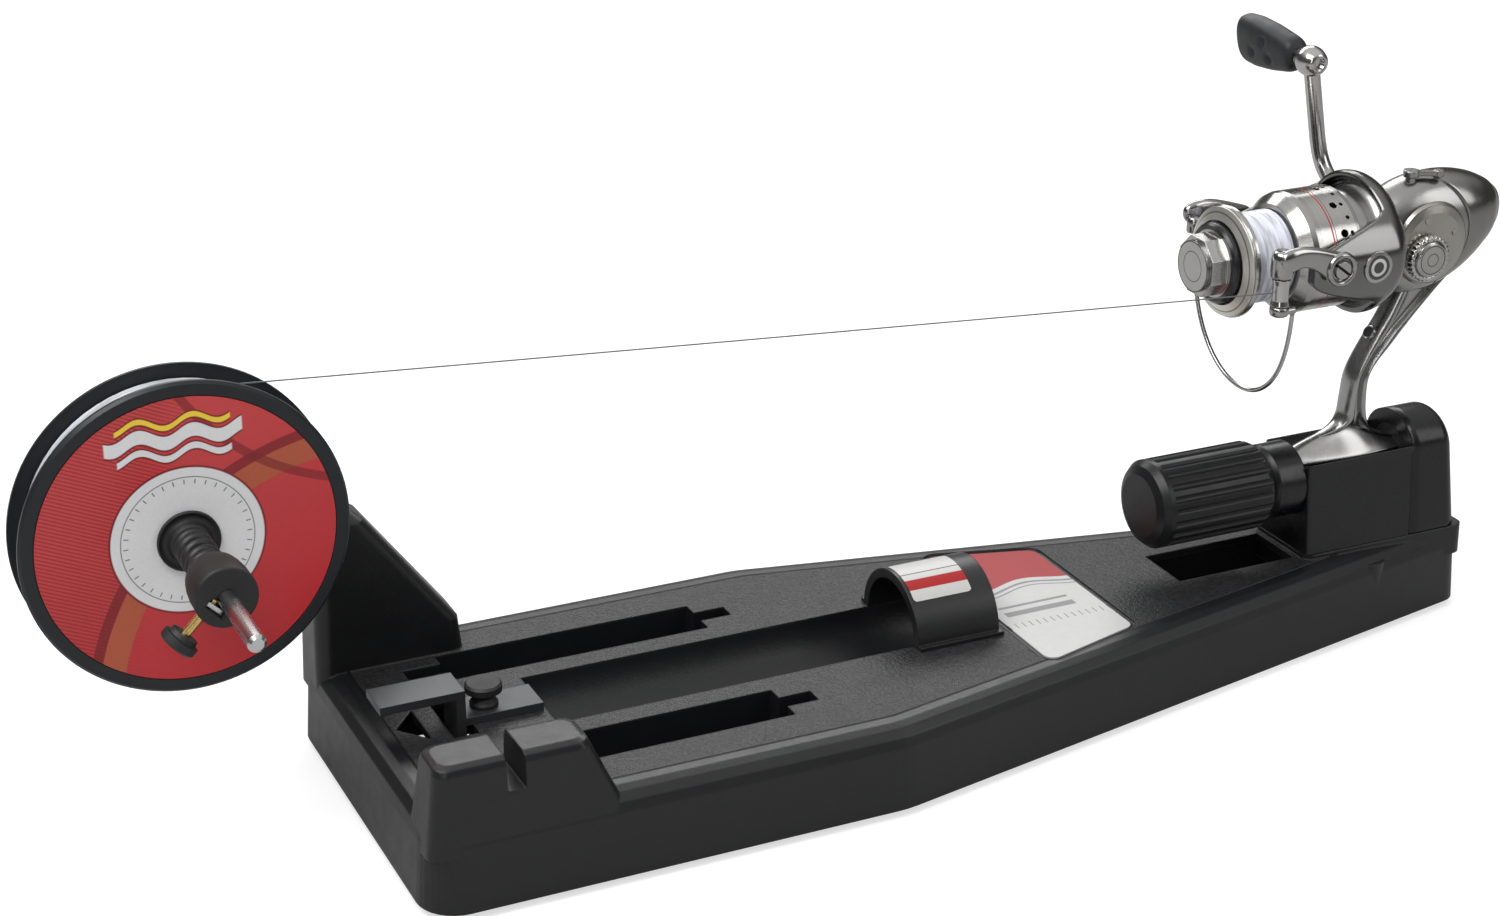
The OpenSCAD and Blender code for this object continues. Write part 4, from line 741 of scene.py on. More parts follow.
def makeGrip():
    # ovals along the pin with interpolated half sizes, squared a little, and three round dents in one face
    rows, cols = gripFacts["grid"]
    t = np.linspace(0, 1, rows)
    ends = np.sqrt(np.clip(1 - ((t - 0.5) / 0.5) ** 16, 0, 1))
    blur = gripFacts["blur"]

    def softened(key):
        # half sizes at every row, averaged over their neighbours and drawn in at both ends
        sizes = np.pad(np.interp(t, gripFacts["at"], gripFacts[key]) * ends, blur // 2, mode="edge")
        return (np.convolve(sizes, np.ones(blur) / blur, "valid") * ends ** 0.2)[:, None]

    turn = fullTurn(cols)
    power = 2 / gripFacts["square"]
    x = softened("halfThick") * squared(np.cos(turn), power)
    z = softened("halfWidth") * squared(np.sin(turn), power)
    y = np.broadcast_to((gripFacts["long"] * t)[:, None], x.shape)
    face = np.clip(-np.cos(turn), 0, 1)[None] ** 0.5
    dent = np.zeros_like(x)
    for dy, dz in gripFacts["dimples"]:
        dent += np.exp(-1.6 * ((y - dy) ** 2 + (z - dz) ** 2) / gripFacts["dimpleRadius"] ** 2)
    x = x + gripFacts["dimpleDepth"] * dent * face
    grid = np.stack([x, y + gripFacts["from"], z + crankFacts["reach"]], -1)
    makePiece("paddleGrip", leaned(grid[:, ::-1]), "gripRubber", "crank_grip", "black_rubber", "crank_grip")


makeCrank()
makeGrip()
print("crank made")

# Seat for the reel foot: a tapered block with a hollow top, and the rounded hood at its rear

seatFacts = {
    "from": 373.5, "hood": 421.5, "to": 445.6, "low": 32.05, "halfLow": 17.4, "halfTop": 14.6, "lean": 0.1,
    "hollow": (63.0, 22.0), "spring": 65.5, "crest": 78.2, "round": 6.0, "pocket": (63.0, 9.4),
    "pocketSet": 0.12,
    # rows of the block, and how far each is set in
    "rows": (0, 0.4, 1.2, 12, 24, 36, 48, 50), "inset": (0.9, 0.25, 0, 0, 0, 0, 0, 0.3),
    "middle": 50.0, "middleHalf": 32.0, "hoodRows": (0, 5, 10), "sidePoints": 24, "topPoints": 41,
    "endRows": 14,
}


def seatLoop(top):
    # closed loop of one section: up the leaning near side, over the top points, down the far side
    low, high = seatFacts["low"], top[0, 1]
    z = np.linspace(low, high, seatFacts["sidePoints"])
    side = np.interp(z, (low, seatFacts["spring"]), (seatFacts["halfLow"], seatFacts["halfTop"]))
    side[-1] = abs(top[0, 0])
    return np.vstack([np.stack([-side, z], -1), top[1:-1], np.stack([side, z], -1)[::-1]])


def drawnIn(loop, middle, half, inset):
    # one loop a row, each shrunk about the middle by its inset in millimetres
    middle = np.array((0, middle))
    return middle + (loop - middle)[None] * (1 - inset[:, None] / np.array(half))[:, None]


def makeSeat():
    # block: the hollow is an arc of a circle, z = floor + r - root of (r squared - y squared)
    half, low, spring, crest = (seatFacts[key] for key in ("halfTop", "low", "spring", "crest"))
    start, end, bend = seatFacts["hood"], seatFacts["to"], seatFacts["round"]
    y = np.linspace(-half, half, seatFacts["topPoints"])
    floor, radius = seatFacts["hollow"]
    saddle = seatLoop(np.stack([y, floor + radius - np.sqrt(radius ** 2 - y ** 2)], -1))
    grid = drawnIn(saddle, seatFacts["middle"], (half, seatFacts["middleHalf"]), np.array(seatFacts["inset"]))
    x = np.broadcast_to((seatFacts["from"] + np.array(seatFacts["rows"]))[:, None, None],
                        grid.shape[:2] + (1,))
    makePiece("seatSaddle", np.concatenate([x, grid], -1), "glossBlack", "station", "gloss_black",
              smooth=False)
    # hood: an arch over the same sides, its rear end drawn in along a quarter circle and leaning forward
    turn = np.linspace(math.pi, 0, seatFacts["topPoints"])
    arch = seatLoop(np.stack([half * np.cos(turn), spring + (crest - spring) * np.sin(turn)], -1))
    quarter = np.linspace(0, 0.97, seatFacts["endRows"]) * math.pi / 2
    x = np.concatenate([seatFacts["hoodRows"], end - start - bend * (1 - np.sin(quarter))]) + start
    inset = np.concatenate([np.zeros(len(seatFacts["hoodRows"])), bend * (1 - np.cos(quarter))])
    grid = drawnIn(arch, low, (seatFacts["halfLow"], crest - low), inset)
    share = np.clip((x - start) / (end - start), 0, 1)[:, None]
    along = x[:, None] - seatFacts["lean"] * (grid[..., 1] - low) * share
    makePiece("seatHood", np.concatenate([along[..., None], grid], -1), "glossBlack", "station",
              "gloss_black", "seat_tower")
    # painted shade: a dark disc just before the hood's face stands in for the shaded hollow of its pocket
    height, radius = seatFacts["pocket"]
    mouth = start - seatFacts["pocketSet"]
    makePiece("seatPocketShade", turnedGrid([(mouth, radius), (mouth, 0.0)], "X", (0, height), 48), "trimBlack",
              "station", "gloss_black", caps=False)


makeSeat()
print("seat made")

# Reel: gear case, stem and foot

caseFacts = {
    # stations along X with the middle height, half height and half width of the section
    "at": (404.0, 410.0, 418.0, 426.0, 434.0, 442.0, 449.0, 455.0, 458.0, 459.4),
    "middle": (150.0, 150.2, 150.6, 151.2, 152.4, 154.0, 155.8, 157.2, 157.8, 157.8),
    "high": (16.6, 20.2, 22.7, 23.0, 21.8, 19.0, 15.0, 10.0, 5.8, 0.4),
    "wide": (11.6, 12.8, 13.3, 13.4, 13.3, 12.8, 11.4, 8.6, 5.2, 0.3),
    "seam": (416.0, 153.0, 23.0), "seamFoot": 429.0, "square": 2.35, "groove": 0.35, "lip": 0.8, "edge": 0.12,
    "front": (1.2, 0.5), "cols": 160, "bodyRows": 46, "rearRows": 60,
    "boss": [(10.0, 0), (10.0, 9.0), (22.8, 9.0), (23.6, 8.4), (24.0, 7.2), (24.0, 5.1), (20.2, 5.1),
             (20.2, 0)],
}


def casePoints(x, turn):
    # rounded oval sections: half width and half height are interpolated along X and raised to a power
    x, turn = np.broadcast_arrays(np.asarray(x, float), turn)
    middle, high, wide = (smoothAlong(x, caseFacts["at"], caseFacts[key])
                          for key in ("middle", "high", "wide"))
    power = 2 / caseFacts["square"]
    return np.stack([x, wide * squared(np.cos(turn), power),
                     middle + high * squared(np.sin(turn), power)], -1)


def seamStations(turn):
    # where each line along the case meets the seam's circle, found by repeated substitution
    cx, cz, radius = caseFacts["seam"]
    x = np.full_like(turn, cx + radius)
    for _ in range(40):
        z = casePoints(x, turn)[..., 2]
        x = 0.5 * x + 0.5 * (cx + np.sqrt(np.clip(radius ** 2 - (z - cz) ** 2, 1.0, None)))
    return np.maximum(x, np.where(np.sin(turn) < 0, caseFacts["seamFoot"], 0.0))


def sunk(grid, depth):
    # moves points towards the case's middle line by depth
    middle = np.stack([grid[..., 0], np.zeros(grid.shape[:-1]),
                       smoothAlong(grid[..., 0], caseFacts["at"], caseFacts["middle"])], -1)
    away = grid - middle
    return middle + away * (1 - depth / np.linalg.norm(away, axis=-1, keepdims=True))


def makeCase():
    # sections from the front to the seam and from the seam to the rear, with sunk lips along the seam
    turn = fullTurn(caseFacts["cols"])
    seam, lip, edge = seamStations(turn), caseFacts["lip"], caseFacts["edge"]
    first, last = caseFacts["at"][0], caseFacts["at"][-1]
    t = np.linspace(0, 1, caseFacts["bodyRows"])[:, None]
    body = casePoints(first + (seam - caseFacts["groove"] - first) * t, turn[None])
    sink, forward = caseFacts["front"]
    body = np.concatenate([sunk(body[:1], sink), body[:1] + np.array((forward, 0, 0)), body[1:-1],
                           sunk(body[-1:], edge), sunk(body[-1:], lip)])
    makePiece("caseBody", body[:, ::-1], "satinNickel", "station", "satin_nickel", "reel_body")
    t = (np.sin(np.linspace(0, math.pi / 2, caseFacts["rearRows"])) ** 0.9)[:, None]
    rear = casePoints(seam + (last - seam) * t, turn[None])
    rear = np.concatenate([sunk(rear[:1], lip), sunk(rear[:1], edge), rear[1:]])
    makePiece("caseRear", rear[:, ::-1], "rearNickel", "station", "bright_nickel", "rear_cover")
    makePiece("caseBoss", turnedGrid(caseFacts["boss"], "Y", crankAxis), "satinNickel", "station",
              "satin_nickel", caps=False)


stemFacts = {
    "front": [(418.5, 133.0), (416.2, 129.5), (414.5, 126.0), (411.0, 119.0), (406.6, 112.0), (401.5, 103.0),
              (398.6, 96.0), (397.4, 87.0), (396.4, 80.5), (393.0, 76.4), (385.0, 73.4), (374.0, 69.4)],
    "rear": [(440.0, 133.5), (436.0, 130.0), (431.0, 125.0), (423.7, 117.4), (415.4, 108.0), (408.8, 101.0),
             (405.9, 95.0), (405.8, 86.0), (407.0, 79.0), (410.4, 73.6), (418.0, 69.6), (428.0, 66.8)],
    # loop round the section: 0 front edge or 1 rear edge, millimetres in from it, half thickness
    "loop": [(0, -0.3, 1.2), (0, 0.3, 3.0), (0, 1.7, 4.7), (0, 3.3, 5.1), (0, 4.6, 4.0), (0, 5.4, 2.0),
             (1, -4.4, 2.0), (1, -3.4, 3.4), (1, -2.2, 4.7), (1, -1.0, 4.7), (1, -0.2, 3.4), (1, 0.0, 1.6)],
    "fullWidth": 11.0, "rows": 70, "thinFrom": 0.72, "thinBy": 0.75, "hole": (406.95, 112.6),
    "holeLean": 30.0,
    "holeRim": [(-0.6, 2.9), (0.6, 2.7), (0.75, 2.3), (0.3, 2.0)], "holeShadeDisc": [(0.5, 2.2), (0.5, 0.0)],
}


def makeStem():
    # front and rear edges follow two smooth lines; the section between them is an I with rounded flanges,
    # which thin out where the stem runs into the foot
    rows = stemFacts["rows"]
    front, rear = smoothPath(stemFacts["front"], rows), smoothPath(stemFacts["rear"], rows)
    width = np.linalg.norm(rear - front, axis=1)[:, None]
    ahead = (rear - front) / width
    loop = np.array(stemFacts["loop"])
    loop = np.vstack([loop, loop[::-1] * np.array((1, 1, -1))])
    inward = np.minimum(1, width / stemFacts["fullWidth"]) * loop[None, :, 1]
    flat = front[:, None] + ahead[:, None] * (loop[None, :, 0] * width + inward)[..., None]
    thinFrom = stemFacts["thinFrom"]
    thin = 1 - stemFacts["thinBy"] * easeStep((np.linspace(0, 1, rows)[:, None] - thinFrom) / (1 - thinFrom))
    grid = np.stack([flat[..., 0], loop[None, :, 2] * thin, flat[..., 1]], -1)
    stem = makePiece("reelStem", grid, "stemNickel", "station", "satin_nickel")
    soften = stem.modifiers.new("soften", "SUBSURF")
    soften.levels = soften.render_levels = 2
    # rim of the screw hole, and a dark disc in it as painted shade for the hole's hollow, turned about a line
    # square to the front edge
    lean = math.radians(stemFacts["holeLean"])
    out, rise = np.array((-math.cos(lean), 0, math.sin(lean))), np.array((math.sin(lean), 0, math.cos(lean)))
    turn = fullTurn(32)
    ring = np.cos(turn)[:, None] * np.array((0, 1, 0)) + np.sin(turn)[:, None] * rise
    middle = np.array((stemFacts["hole"][0], 0, stemFacts["hole"][1]))
    for name, finish in (("holeRim", "stemNickel"), ("holeShadeDisc", "trimBlack")):
        far, radius = np.array(stemFacts[name]).T[:, :, None, None]
        makePiece(name, middle + out * far + ring * radius, finish, "station", "satin_nickel", caps=False)


footFacts = {
    "at": (364.3, 366.0, 370.0, 374.0, 378.0, 384.0, 391.0, 398.0, 404.0, 410.0, 416.0, 422.0, 428.0, 432.4,
           433.7),
    "half": (1.6, 3.9, 5.2, 5.7, 6.1, 6.8, 7.4, 7.9, 8.0, 7.7, 7.0, 6.2, 5.4, 3.2, 1.4),
    "rise": (1.6, 2.4, 3.6, 5.2, 6.9, 8.9, 10.9, 12.0, 11.2, 8.2, 5.2, 3.4, 2.7, 2.3, 1.8),
    "under": 64.45, "edge": 1.5, "grid": (90, 33),
}


def makeFoot():
    # an arched strip: its top falls away from the middle line, its underside is flat
    rows, cols = footFacts["grid"]
    x = np.linspace(footFacts["at"][0], footFacts["at"][-1], rows)[:, None]
    half, rise = (smoothAlong(x, footFacts["at"], footFacts[key]) for key in ("half", "rise"))
    across = np.sin(np.linspace(-1, 1, cols) * math.pi / 2)[None]
    edge = np.minimum(rise, footFacts["edge"])
    top = footFacts["under"] + edge + (rise - edge) * (1 - across ** 2) ** 1.3
    upper, lower = (np.stack(np.broadcast_arrays(x, half * across, z), -1)
                    for z in (top, footFacts["under"]))
    makePiece("reelFoot", np.concatenate([upper, lower[:, ::-1]], 1), "stemNickel", "station", "satin_nickel")


makeCase()
makeStem()
makeFoot()
print("reel case made")

# Rotor with its two swept arms

rotorFacts = {
    "edge": 392.0, "armReach": 34.5, "armFull": 6.0, "armEnd": 44.0, "inner": 24.0, "cup": 27.0, "arm": 29.0,
    "floor": 394.5, "bend": 394.0, "back": 402.9, "backRadius": 17.0, "hole": 8.6, "cols": 288,
    "sleeve": [(394.6, 23.4), (393.4, 21.6), (391.8, 20.7), (389.0, 20.4), (379.6, 20.4), (379.0, 19.8),
               (379.0, 9.0)],
}


def makeRotor():
    # a cup turned about X whose front edge runs forward on both sides into arms: rows of (station, radius) go
    # from the floor along the inside, over the edge, along the outside and round a quarter circle to the back
    turn = fullTurn(rotorFacts["cols"])
    full, end = rotorFacts["armFull"], rotorFacts["armEnd"]
    fromArm = np.degrees(np.arcsin(np.abs(np.sin(turn))))       # 0 on the arms' line
    arm = 1 - easeStep((fromArm - full) / (end - full))
    edge = rotorFacts["edge"] - rotorFacts["armReach"] * arm
    outer = rotorFacts["cup"] + (rotorFacts["arm"] - rotorFacts["cup"]) * arm
    inner, hole, floor, bend, back = (rotorFacts[key] for key in ("inner", "hole", "floor", "bend", "back"))
    rows = [(floor, hole), (floor, inner - 2.0), (floor - 0.6, inner - 0.5)]
    rows += [((floor - 1.4) * (1 - k) + (edge + 0.8) * k, inner) for k in np.linspace(0, 1, 10)]
    rows += [(edge + 0.25, inner + 0.25), (edge, inner + 0.9), (edge, (inner + outer) / 2),
             (edge, outer - 1.2), (edge + 0.35, outer - 0.35), (edge + 1.2, outer)]
    rows += [((edge + 1.2) * (1 - k) + bend * k, outer) for k in np.linspace(0.1, 1, 10)]
    rows += [(bend + (back - bend) * math.sin(k),
              outer - (outer - rotorFacts["backRadius"]) * (1 - math.cos(k)))
             for k in np.linspace(0, math.pi / 2, 12)[1:]]
    rows.append((back, hole))
    x, r = (np.stack([np.broadcast_to(row[k], turn.shape) for row in rows]) for k in (0, 1))
    grid = np.stack([x, r * np.cos(turn), reelAxis + r * np.sin(turn)], -1)
    makePiece("rotorCup", grid, "darkNickel", "rotor", "satin_nickel", "rotor", closeRows=True)
    # pale sleeve that the skirt runs over
    makePiece("rotorSleeve", turnedGrid(rotorFacts["sleeve"], "X", (0, reelAxis), 96), "satinNickel", "rotor",
              "satin_nickel", caps=False)


makeRotor()
print("rotor made")

# Bail: levers, knuckle, bracket and wire

bailFacts = {
    "lever": [(370.5, 151.5), (366.0, 154.0), (360.0, 157.2), (354.0, 159.6), (348.5, 160.4), (344.0, 159.6),
              (340.4, 158.2)],
    "half": (4.6, 5.8, 4.7, 4.0, 4.0, 4.3, 3.4), "thick": (1.5, 1.75, 1.75, 1.8, 2.0, 2.2, 1.8),
    "leverGrid": (64, 36),
    "y": 31.1, "tip": (343.0, 28.5), "wire": 0.85, "drop": 44.0, "reach": 1.8, "low": 139.8, "far": 154.0,
    "root": 6.0, "pivot": (366.0, 154.0), "wireGrid": (120, 14),
    "rim": [(-32.0, 6.5), (-33.4, 6.3), (-33.9, 5.7), (-33.9, 4.9), (-33.5, 4.4), (-32.0, 4.2)],
    "uprights": [   # name, side, profile of height and radius
        ("knuckleNear", -1, [(152.9, 0), (152.9, 3.5), (153.4, 4.0), (155, 4.2), (160, 4.2), (161.9, 3.9),
                             (163.0, 3.0), (163.2, 2.5), (162.7, 2.3), (162.7, 0)]),
        ("bracketNear", -1, [(138.4, 0), (138.4, 2.5), (138.8, 3.2), (139.6, 3.5), (141.6, 3.5), (142.2, 3.1),
                             (142.2, 0)]),
        ("knuckleFar", 1, [(153.0, 0), (153.0, 2.2), (153.6, 2.6), (158.5, 2.6), (159.2, 2.1), (159.2, 0)])],
    "barHalf": (1.9, 1.4), "barTaper": 0.3, "barPast": 1.6, "barHeight": 139.85, "barGrid": (24, 24),
    "barRound": 0.8,
}


def makeBail():
    # each lever is an oval carried along a bent line, rounded off at both ends
    rows, cols = bailFacts["leverGrid"]
    path = smoothPath(bailFacts["lever"], rows)
    t = np.linspace(0, 1, rows)
    keys = np.linspace(0, 1, len(bailFacts["half"]))
    ends = np.clip(1 - np.abs(2 * t - 1) ** 10, 0, 1) ** 0.5
    half = smoothAlong(t, keys, bailFacts["half"]) * ends
    thick = smoothAlong(t, keys, bailFacts["thick"]) * (0.3 + 0.7 * ends)
    course = np.gradient(path, axis=0)
    normal = np.stack([-course[:, 1], course[:, 0]], -1) / np.linalg.norm(course, axis=1, keepdims=True)
    turn = fullTurn(cols)
    flat = path[:, None] + normal[:, None] * (half[:, None] * squared(np.cos(turn), 0.8))[..., None]
    out = thick[:, None] * squared(np.sin(turn), 0.8)
    for name, side, node in (("leverNear", -1, "bail_arm_near"), ("leverFar", 1, "bail_arm_far")):
        grid = np.stack([flat[..., 0], side * (bailFacts["y"] + out), flat[..., 1]], -1)
        makePiece(name, grid[:, ::side], "polishedNickel", "bail", "satin_nickel", node)
    # raised ring round the near pivot, and the upright turned pieces at the tips
    makePiece("pivotRim", turnedGrid(bailFacts["rim"], "Y", bailFacts["pivot"], 72), "polishedNickel", "bail",
              "satin_nickel", caps=False)
    x, y = bailFacts["tip"]
    for name, side, profile in bailFacts["uprights"]:
        makePiece(name, turnedGrid(profile, "Z", (x, side * y), 40), "polishedNickel", "bail", "satin_nickel",
                  caps=False)
    # foot of the wire: a flat bar from the bracket, its end drawn in along a quarter circle
    rows, cols = bailFacts["barGrid"]
    wide, high = bailFacts["barHalf"]
    reach, turn = np.linspace(0, 1, rows)[:, None], fullTurn(cols)
    endFrom = bailFacts["barRound"]
    end = np.clip((reach - endFrom) / (1 - endFrom), 0, 1)
    half = (wide - bailFacts["barTaper"] * reach) * np.sqrt(np.clip(1 - end ** 2, 0.0004, 1))
    along = x + (bailFacts["root"] + bailFacts["barPast"]) * reach
    across = -y + half * squared(np.cos(turn), 0.7)
    height = bailFacts["barHeight"] + high * half / wide * squared(np.sin(turn), 0.7)
    grid = np.stack(np.broadcast_arrays(along, across, height), -1)
    makePiece("bracketBar", grid, "polishedNickel", "bail", "satin_nickel")
    # wire: half a turn from the near tip to the far one, which sags by a power of the sine
    points, sides = bailFacts["wireGrid"]
    turn = np.linspace(0, math.pi, points)
    c, sag = np.cos(turn), np.sin(turn).clip(0, 1) ** 0.8
    middle = (bailFacts["low"] * (1 + c) + bailFacts["far"] * (1 - c)) / 2
    path = np.stack([x + bailFacts["root"] * (2 + c) / 3 - bailFacts["reach"] * sag, -y * c,
                     middle - bailFacts["drop"] * sag], -1)
    makePiece("bailWire", tubeGrid(path, bailFacts["wire"], sides, (1, 0, 0)), "wireNickel", "bail",
              "bright_nickel", "bail_wire")


makeBail()
print("bail made")

# Turned finishes of the spool, its knob and the side cover, painted by distance from their axes

# the second colour is painted shade for the spots that stand in for holes
turnedSilver, paintedHoleShade = (0.44, 0.432, 0.41), (0.006, 0.006, 0.006)
turnedFacts = {
    # CAD nodes, axis, centre, roughness, tool ring pitch, colour, bands, rings of spots of painted shade that
    # stand in for holes
    # a band: along the axis, out from it or across a slot; low, high, colour, whether it is metal
    # a ring of spots: place along the axis, count, share of a step turned, spot radius, ring radius
    "spoolTurned": ("reel_spool", 0, (0, 0, reelAxis), 0.17, 0.5, turnedSilver, [
        ("along", 362.0, 366.2, (0.40, 0.39, 0.375), True),
        ("along", 370.6, 371.2, (0.42, 0.02, 0.02), False),
        ("along", 371.9, 372.2, (0.05, 0.05, 0.05), False),
        ("along", 381.6, 383.2, (0.30, 0.295, 0.285), True)], [(379.3, 24, 0.5, 0.8, 22.8)]),
    "lipTurned": ("spool_ring", 0, (0, 0, reelAxis), 0.36, 0.45, (0.80, 0.775, 0.71), [
        ("out", 18.2, 18.7, (0.30, 0.29, 0.27), True)], []),
    "knobTurned": ("drag_knob", 0, (0, 0, reelAxis), 0.22, 0.4, (0.46, 0.455, 0.44), [
        ("out", 12.6, 16.0, (0.012, 0.012, 0.013), False), ("out", 9.1, 9.6, (0.10, 0.10, 0.10), True),
        ("out", 5.4, 5.8, (0.16, 0.155, 0.15), True)], []),
    "coverTurned": ("side_cover cover_screws", 1, (421.0, 0, 150.5), 0.3, 0.8, (0.40, 0.385, 0.35), [
        ("out", 15.0, 15.3, (0.16, 0.155, 0.14), True)], []),
    # painted shade: a dark band across the screw head stands in for the shaded recess of its slot
    "screwSlotShade": ("bail_screws", 1, (366.0, 0, 154.0), 0.2, 0.7, turnedSilver, [
        ("slot", -0.5, 0.5, (0.02, 0.02, 0.02), True)], []),
    "capTurned": ("handle_cap", 1, (crankAxis[0], 0, crankAxis[1]), 0.2, 0.9, (0.42, 0.41, 0.385), [
        ("out", 5.2, 5.6, (0.10, 0.10, 0.095), True), ("out", 2.2, 2.6, (0.14, 0.14, 0.13), True)], []),
    "badgePlate": ("arm_badge", 1, (385.0, 0, reelAxis), 0.15, 5.0, turnedSilver, [
        ("out", 0.0, 4.7, (0.05, 0.05, 0.052), False), ("out", 2.2, 3.4, (0.60, 0.60, 0.59), True)], []),
}


def turnedMaterial(name, axis, centre, roughness, ringPitch, base, bands, spots):
    # tool rings are a sine of the radius and the place along the axis; paint lies in bands, and painted shade
    # in spots that stand in for holes
    mat, tree, shader, coords = newMaterial(name, roughness, 1.0)
    xyz = add(tree, "ShaderNodeSeparateXYZ", coords).outputs
    real = [stationAxis(tree, xyz, k, middle) for k, middle in enumerate(centre)]
    along = real.pop(axis)
    a, b = real
    radius = hypotenuse(a, b)
    measures = {"along": along, "out": radius, "slot": a * 0.6 + b * 0.8}
    stretch = tuple(1400.0 if k == axis else 50.0 for k in range(3))
    surface = addSurface(tree, brushGroup, coords, stretch, base, roughness, 0.12)
    color, painted = surface["Color"], None
    for measure, low, high, paint, isMetal in bands:
        mask = measures[measure].band(low, high, 0.08)
        color = mask.paint(color, paint)
        if not isMetal:
            painted = painted.maths("MAXIMUM", mask) if painted else mask
    # painted shade: dark spots where holes would show their shaded inside
    for spotAt, count, shift, size, ringRadius in spots:
        turned = b.maths("ARCTAN2", a) / (tau / count) + (count + shift)
        arc = (turned.maths("FRACT") - 0.5) * (tau * ringRadius / count)
        spot = hypotenuse(arc, along - spotAt).step(size + 0.1, size - 0.1)
        color = (spot * radius.step(ringRadius - 0.4, ringRadius - 0.2)).paint(color, paintedHoleShade)
    plug(tree, shader.inputs["Base Color"], color)
    if painted:
        plug(tree, shader.inputs["Metallic"], 1.0 - painted)
    plug(tree, shader.inputs["Roughness"], surface["Roughness"])
    bumped(tree, shader, ((radius + along) * (tau / ringPitch)).maths("SINE"), 0.12, 0.00006, 0.0004)
    return mat


for name, (worn, *row) in turnedFacts.items():
    turned = turnedMaterial(name, *row)
    for node in worn.split():
        wear(node, turned)
print("turned finishes set")

# Bare sticker on the rod arch, the brake's turned pieces and the fluted ring behind the handle cap

stickerFacts = {
    "axis": 30.0, "radius": 21.65, "from": 204.5, "to": 228.0, "low": 72.0, "high": 133.0, "grid": (40, 40),
    "corner": 0.86, "shrink": 0.09, "white": (0.52, 0.515, 0.50), "red": (0.33, 0.014, 0.016),
    "grey": (0.1, 0.1, 0.1),
    "redBand": (-11.05, -6.75, 0.15), "rule": (-3.825, -3.275, 0.075),      # low, high, soft edge
}


def makeSticker():
    # a patch of a cylinder, an even 0.15 mm above the arch, with rounded corners by shrinking its end rows
    rows, cols = stickerFacts["grid"]
    along, around = np.linspace(0, 1, rows)[:, None], np.linspace(-1, 1, cols)[None]
    inset = np.clip((np.abs(2 * along - 1) - stickerFacts["corner"]) / (1 - stickerFacts["corner"]), 0, 1)
    around = around * (1 - stickerFacts["shrink"] * (1 - np.sqrt(1 - inset ** 2)))
    low, high, radius = (stickerFacts[key] for key in ("low", "high", "radius"))
    angle = np.radians((low + high) / 2 + (high - low) / 2 * around)
    x = stickerFacts["from"] + (stickerFacts["to"] - stickerFacts["from"]) * along
    grid = np.stack(np.broadcast_arrays(x, radius * np.cos(angle),
                                        stickerFacts["axis"] + radius * np.sin(angle)), -1)
    mat, tree, shader, coords = newMaterial("archSticker", 0.4, specular=0.25, coat=0.06, coatRoughness=0.2)
    across = stationAxis(tree, add(tree, "ShaderNodeSeparateXYZ", coords).outputs, 1)
    dim = tuple(c * 0.92 for c in stickerFacts["white"])
    color = noise(tree, coords, 600.0, 3.0).paint(dim, stickerFacts["white"])
    color = across.band(*stickerFacts["redBand"]).paint(color, stickerFacts["red"])
    color = across.band(*stickerFacts["rule"]).paint(color, stickerFacts["grey"])
    plug(tree, shader.inputs["Base Color"], color)
    makePiece("archSticker", grid, mat, "station", "white_label", closeCols=False, caps=False)


brakeFacts = {
    "bore": 3.06, "sides": 144,
    "sleeve": [(6.6, 3.12), (6.5, 4.2), (-17.9, 4.2), (-18.0, 3.12)],
    "disc": [(13.7, 3.06), (13.7, 6.4), (9.72, 6.4), (9.7, 6.5), (9.7, 10.0), (9.4, 10.4), (8.4, 10.4),
             (8.1, 10.1), (8.3, 9.7), (8.9, 9.2), (9, 8.2), (8.6, 7.3), (7.7, 6.9), (5.9, 6.6), (5.4, 6.1),
             (5.4, 3.06)],
    "drum": [(-17.7, 3.06), (-17.7, 6.3), (-17.9, 7.0), (-18.6, 7.7), (-19.9, 8.5), (-21.9, 9.2),
             (-24.7, 9.7), (-28.7, 10.1), (-36.4, 10.2), (-36.95, 10.05), (-37.25, 9.7), (-37.3, 9.3)],
    "slotTurn": 225.0, "slotReach": 6.3, "slotHalf": 3.8, "slotSpan": 55.6, "slotFloor": -27.5,
    "slotEdge": 0.05, "paper": [(9.99, 12.2), (9.95, 12.2), (9.95, 6.9), (9.99, 6.9)],
}
collarFacts = {
    "profile": [(-15.35, 6.9), (-15.35, 8.3), (-15.8, 8.7), (-18.6, 8.7), (-19.2, 8.2), (-19.3, 6.9)],
    "flute": (0, 0.1, 0.3, 0.3, 0.15, 0), "flutes": 28, "sides": 168,
}


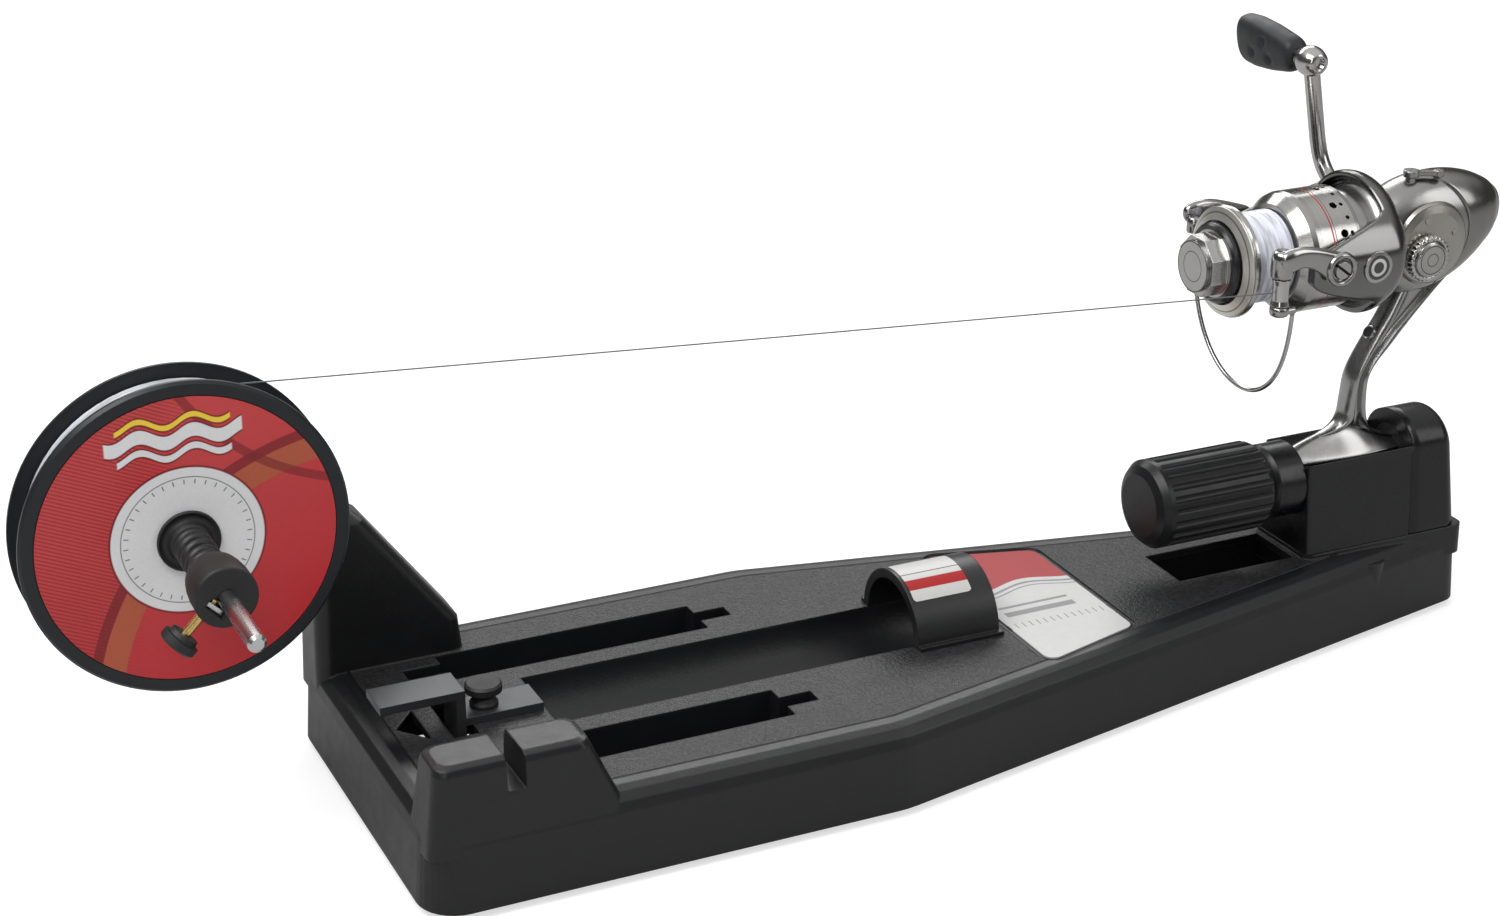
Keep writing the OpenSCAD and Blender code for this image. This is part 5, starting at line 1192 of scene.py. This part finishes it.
def makeBrake():
    # turned sleeve, dished disc and paper ring
    makePiece("springSleeve", turnedGrid(brakeFacts["sleeve"], "Y", rodAxis, 48), "trimBlack", "tensioner",
              "black_trim", closeRows=True)
    makePiece("pressureDisc", turnedGrid(brakeFacts["disc"], "Y", rodAxis, 72), "trimBlack", "tensioner",
              "black_trim", "tension_disc", closeRows=True)
    makePiece("labelCentre", turnedGrid(brakeFacts["paper"], "Y", rodAxis, 72), labelMaterial, "filler_spool",
              "red_label", closeRows=True, smooth=False)
    # the drum's front opens by the distance to a slot's end and sides at each angle
    turn, bore = fullTurn(brakeFacts["sides"]), brakeFacts["bore"]
    away = (turn - math.radians(brakeFacts["slotTurn"]) + math.pi) % tau - math.pi
    reach = np.minimum(brakeFacts["slotReach"] / np.maximum(np.cos(away), 0.1),
                       brakeFacts["slotHalf"] / np.maximum(np.abs(np.sin(away)), 0.1))
    hole = np.where(np.abs(away) < math.radians(brakeFacts["slotSpan"]), reach, bore)
    drum, edge, floor = np.array(brakeFacts["drum"]), brakeFacts["slotEdge"], brakeFacts["slotFloor"]
    front = drum[-1, 0]
    y = np.concatenate([drum[:, 0], [front, front, front + edge, floor, floor]])[:, None]
    r = np.vstack([np.broadcast_to(row, turn.shape)
                   for row in (*drum[:, 1], hole + edge, hole, hole, hole, bore)])
    grid = np.stack(np.broadcast_arrays(rodAxis[0] + r * np.sin(turn), y, rodAxis[1] + r * np.cos(turn)), -1)
    makePiece("collarDrum", grid, "trimBlack", "tensioner", "black_trim", "locking_collar", closeRows=True)


def makeCapCollar():
    # the ring's radius rises and falls along the turn by a cosine
    turn = fullTurn(collarFacts["sides"])
    y, r = np.array(collarFacts["profile"]).T[:, :, None]
    r = r + np.array(collarFacts["flute"])[:, None] * np.cos(collarFacts["flutes"] * turn)
    grid = np.stack(np.broadcast_arrays(crankAxis[0] + r * np.sin(turn), y, crankAxis[1] + r * np.cos(turn)),
                    -1)
    makePiece("capCollar", grid, "brightNickel", "crank", "bright_nickel", closeRows=True)


makeSticker()
makeBrake()
makeCapCollar()
print("trim made")
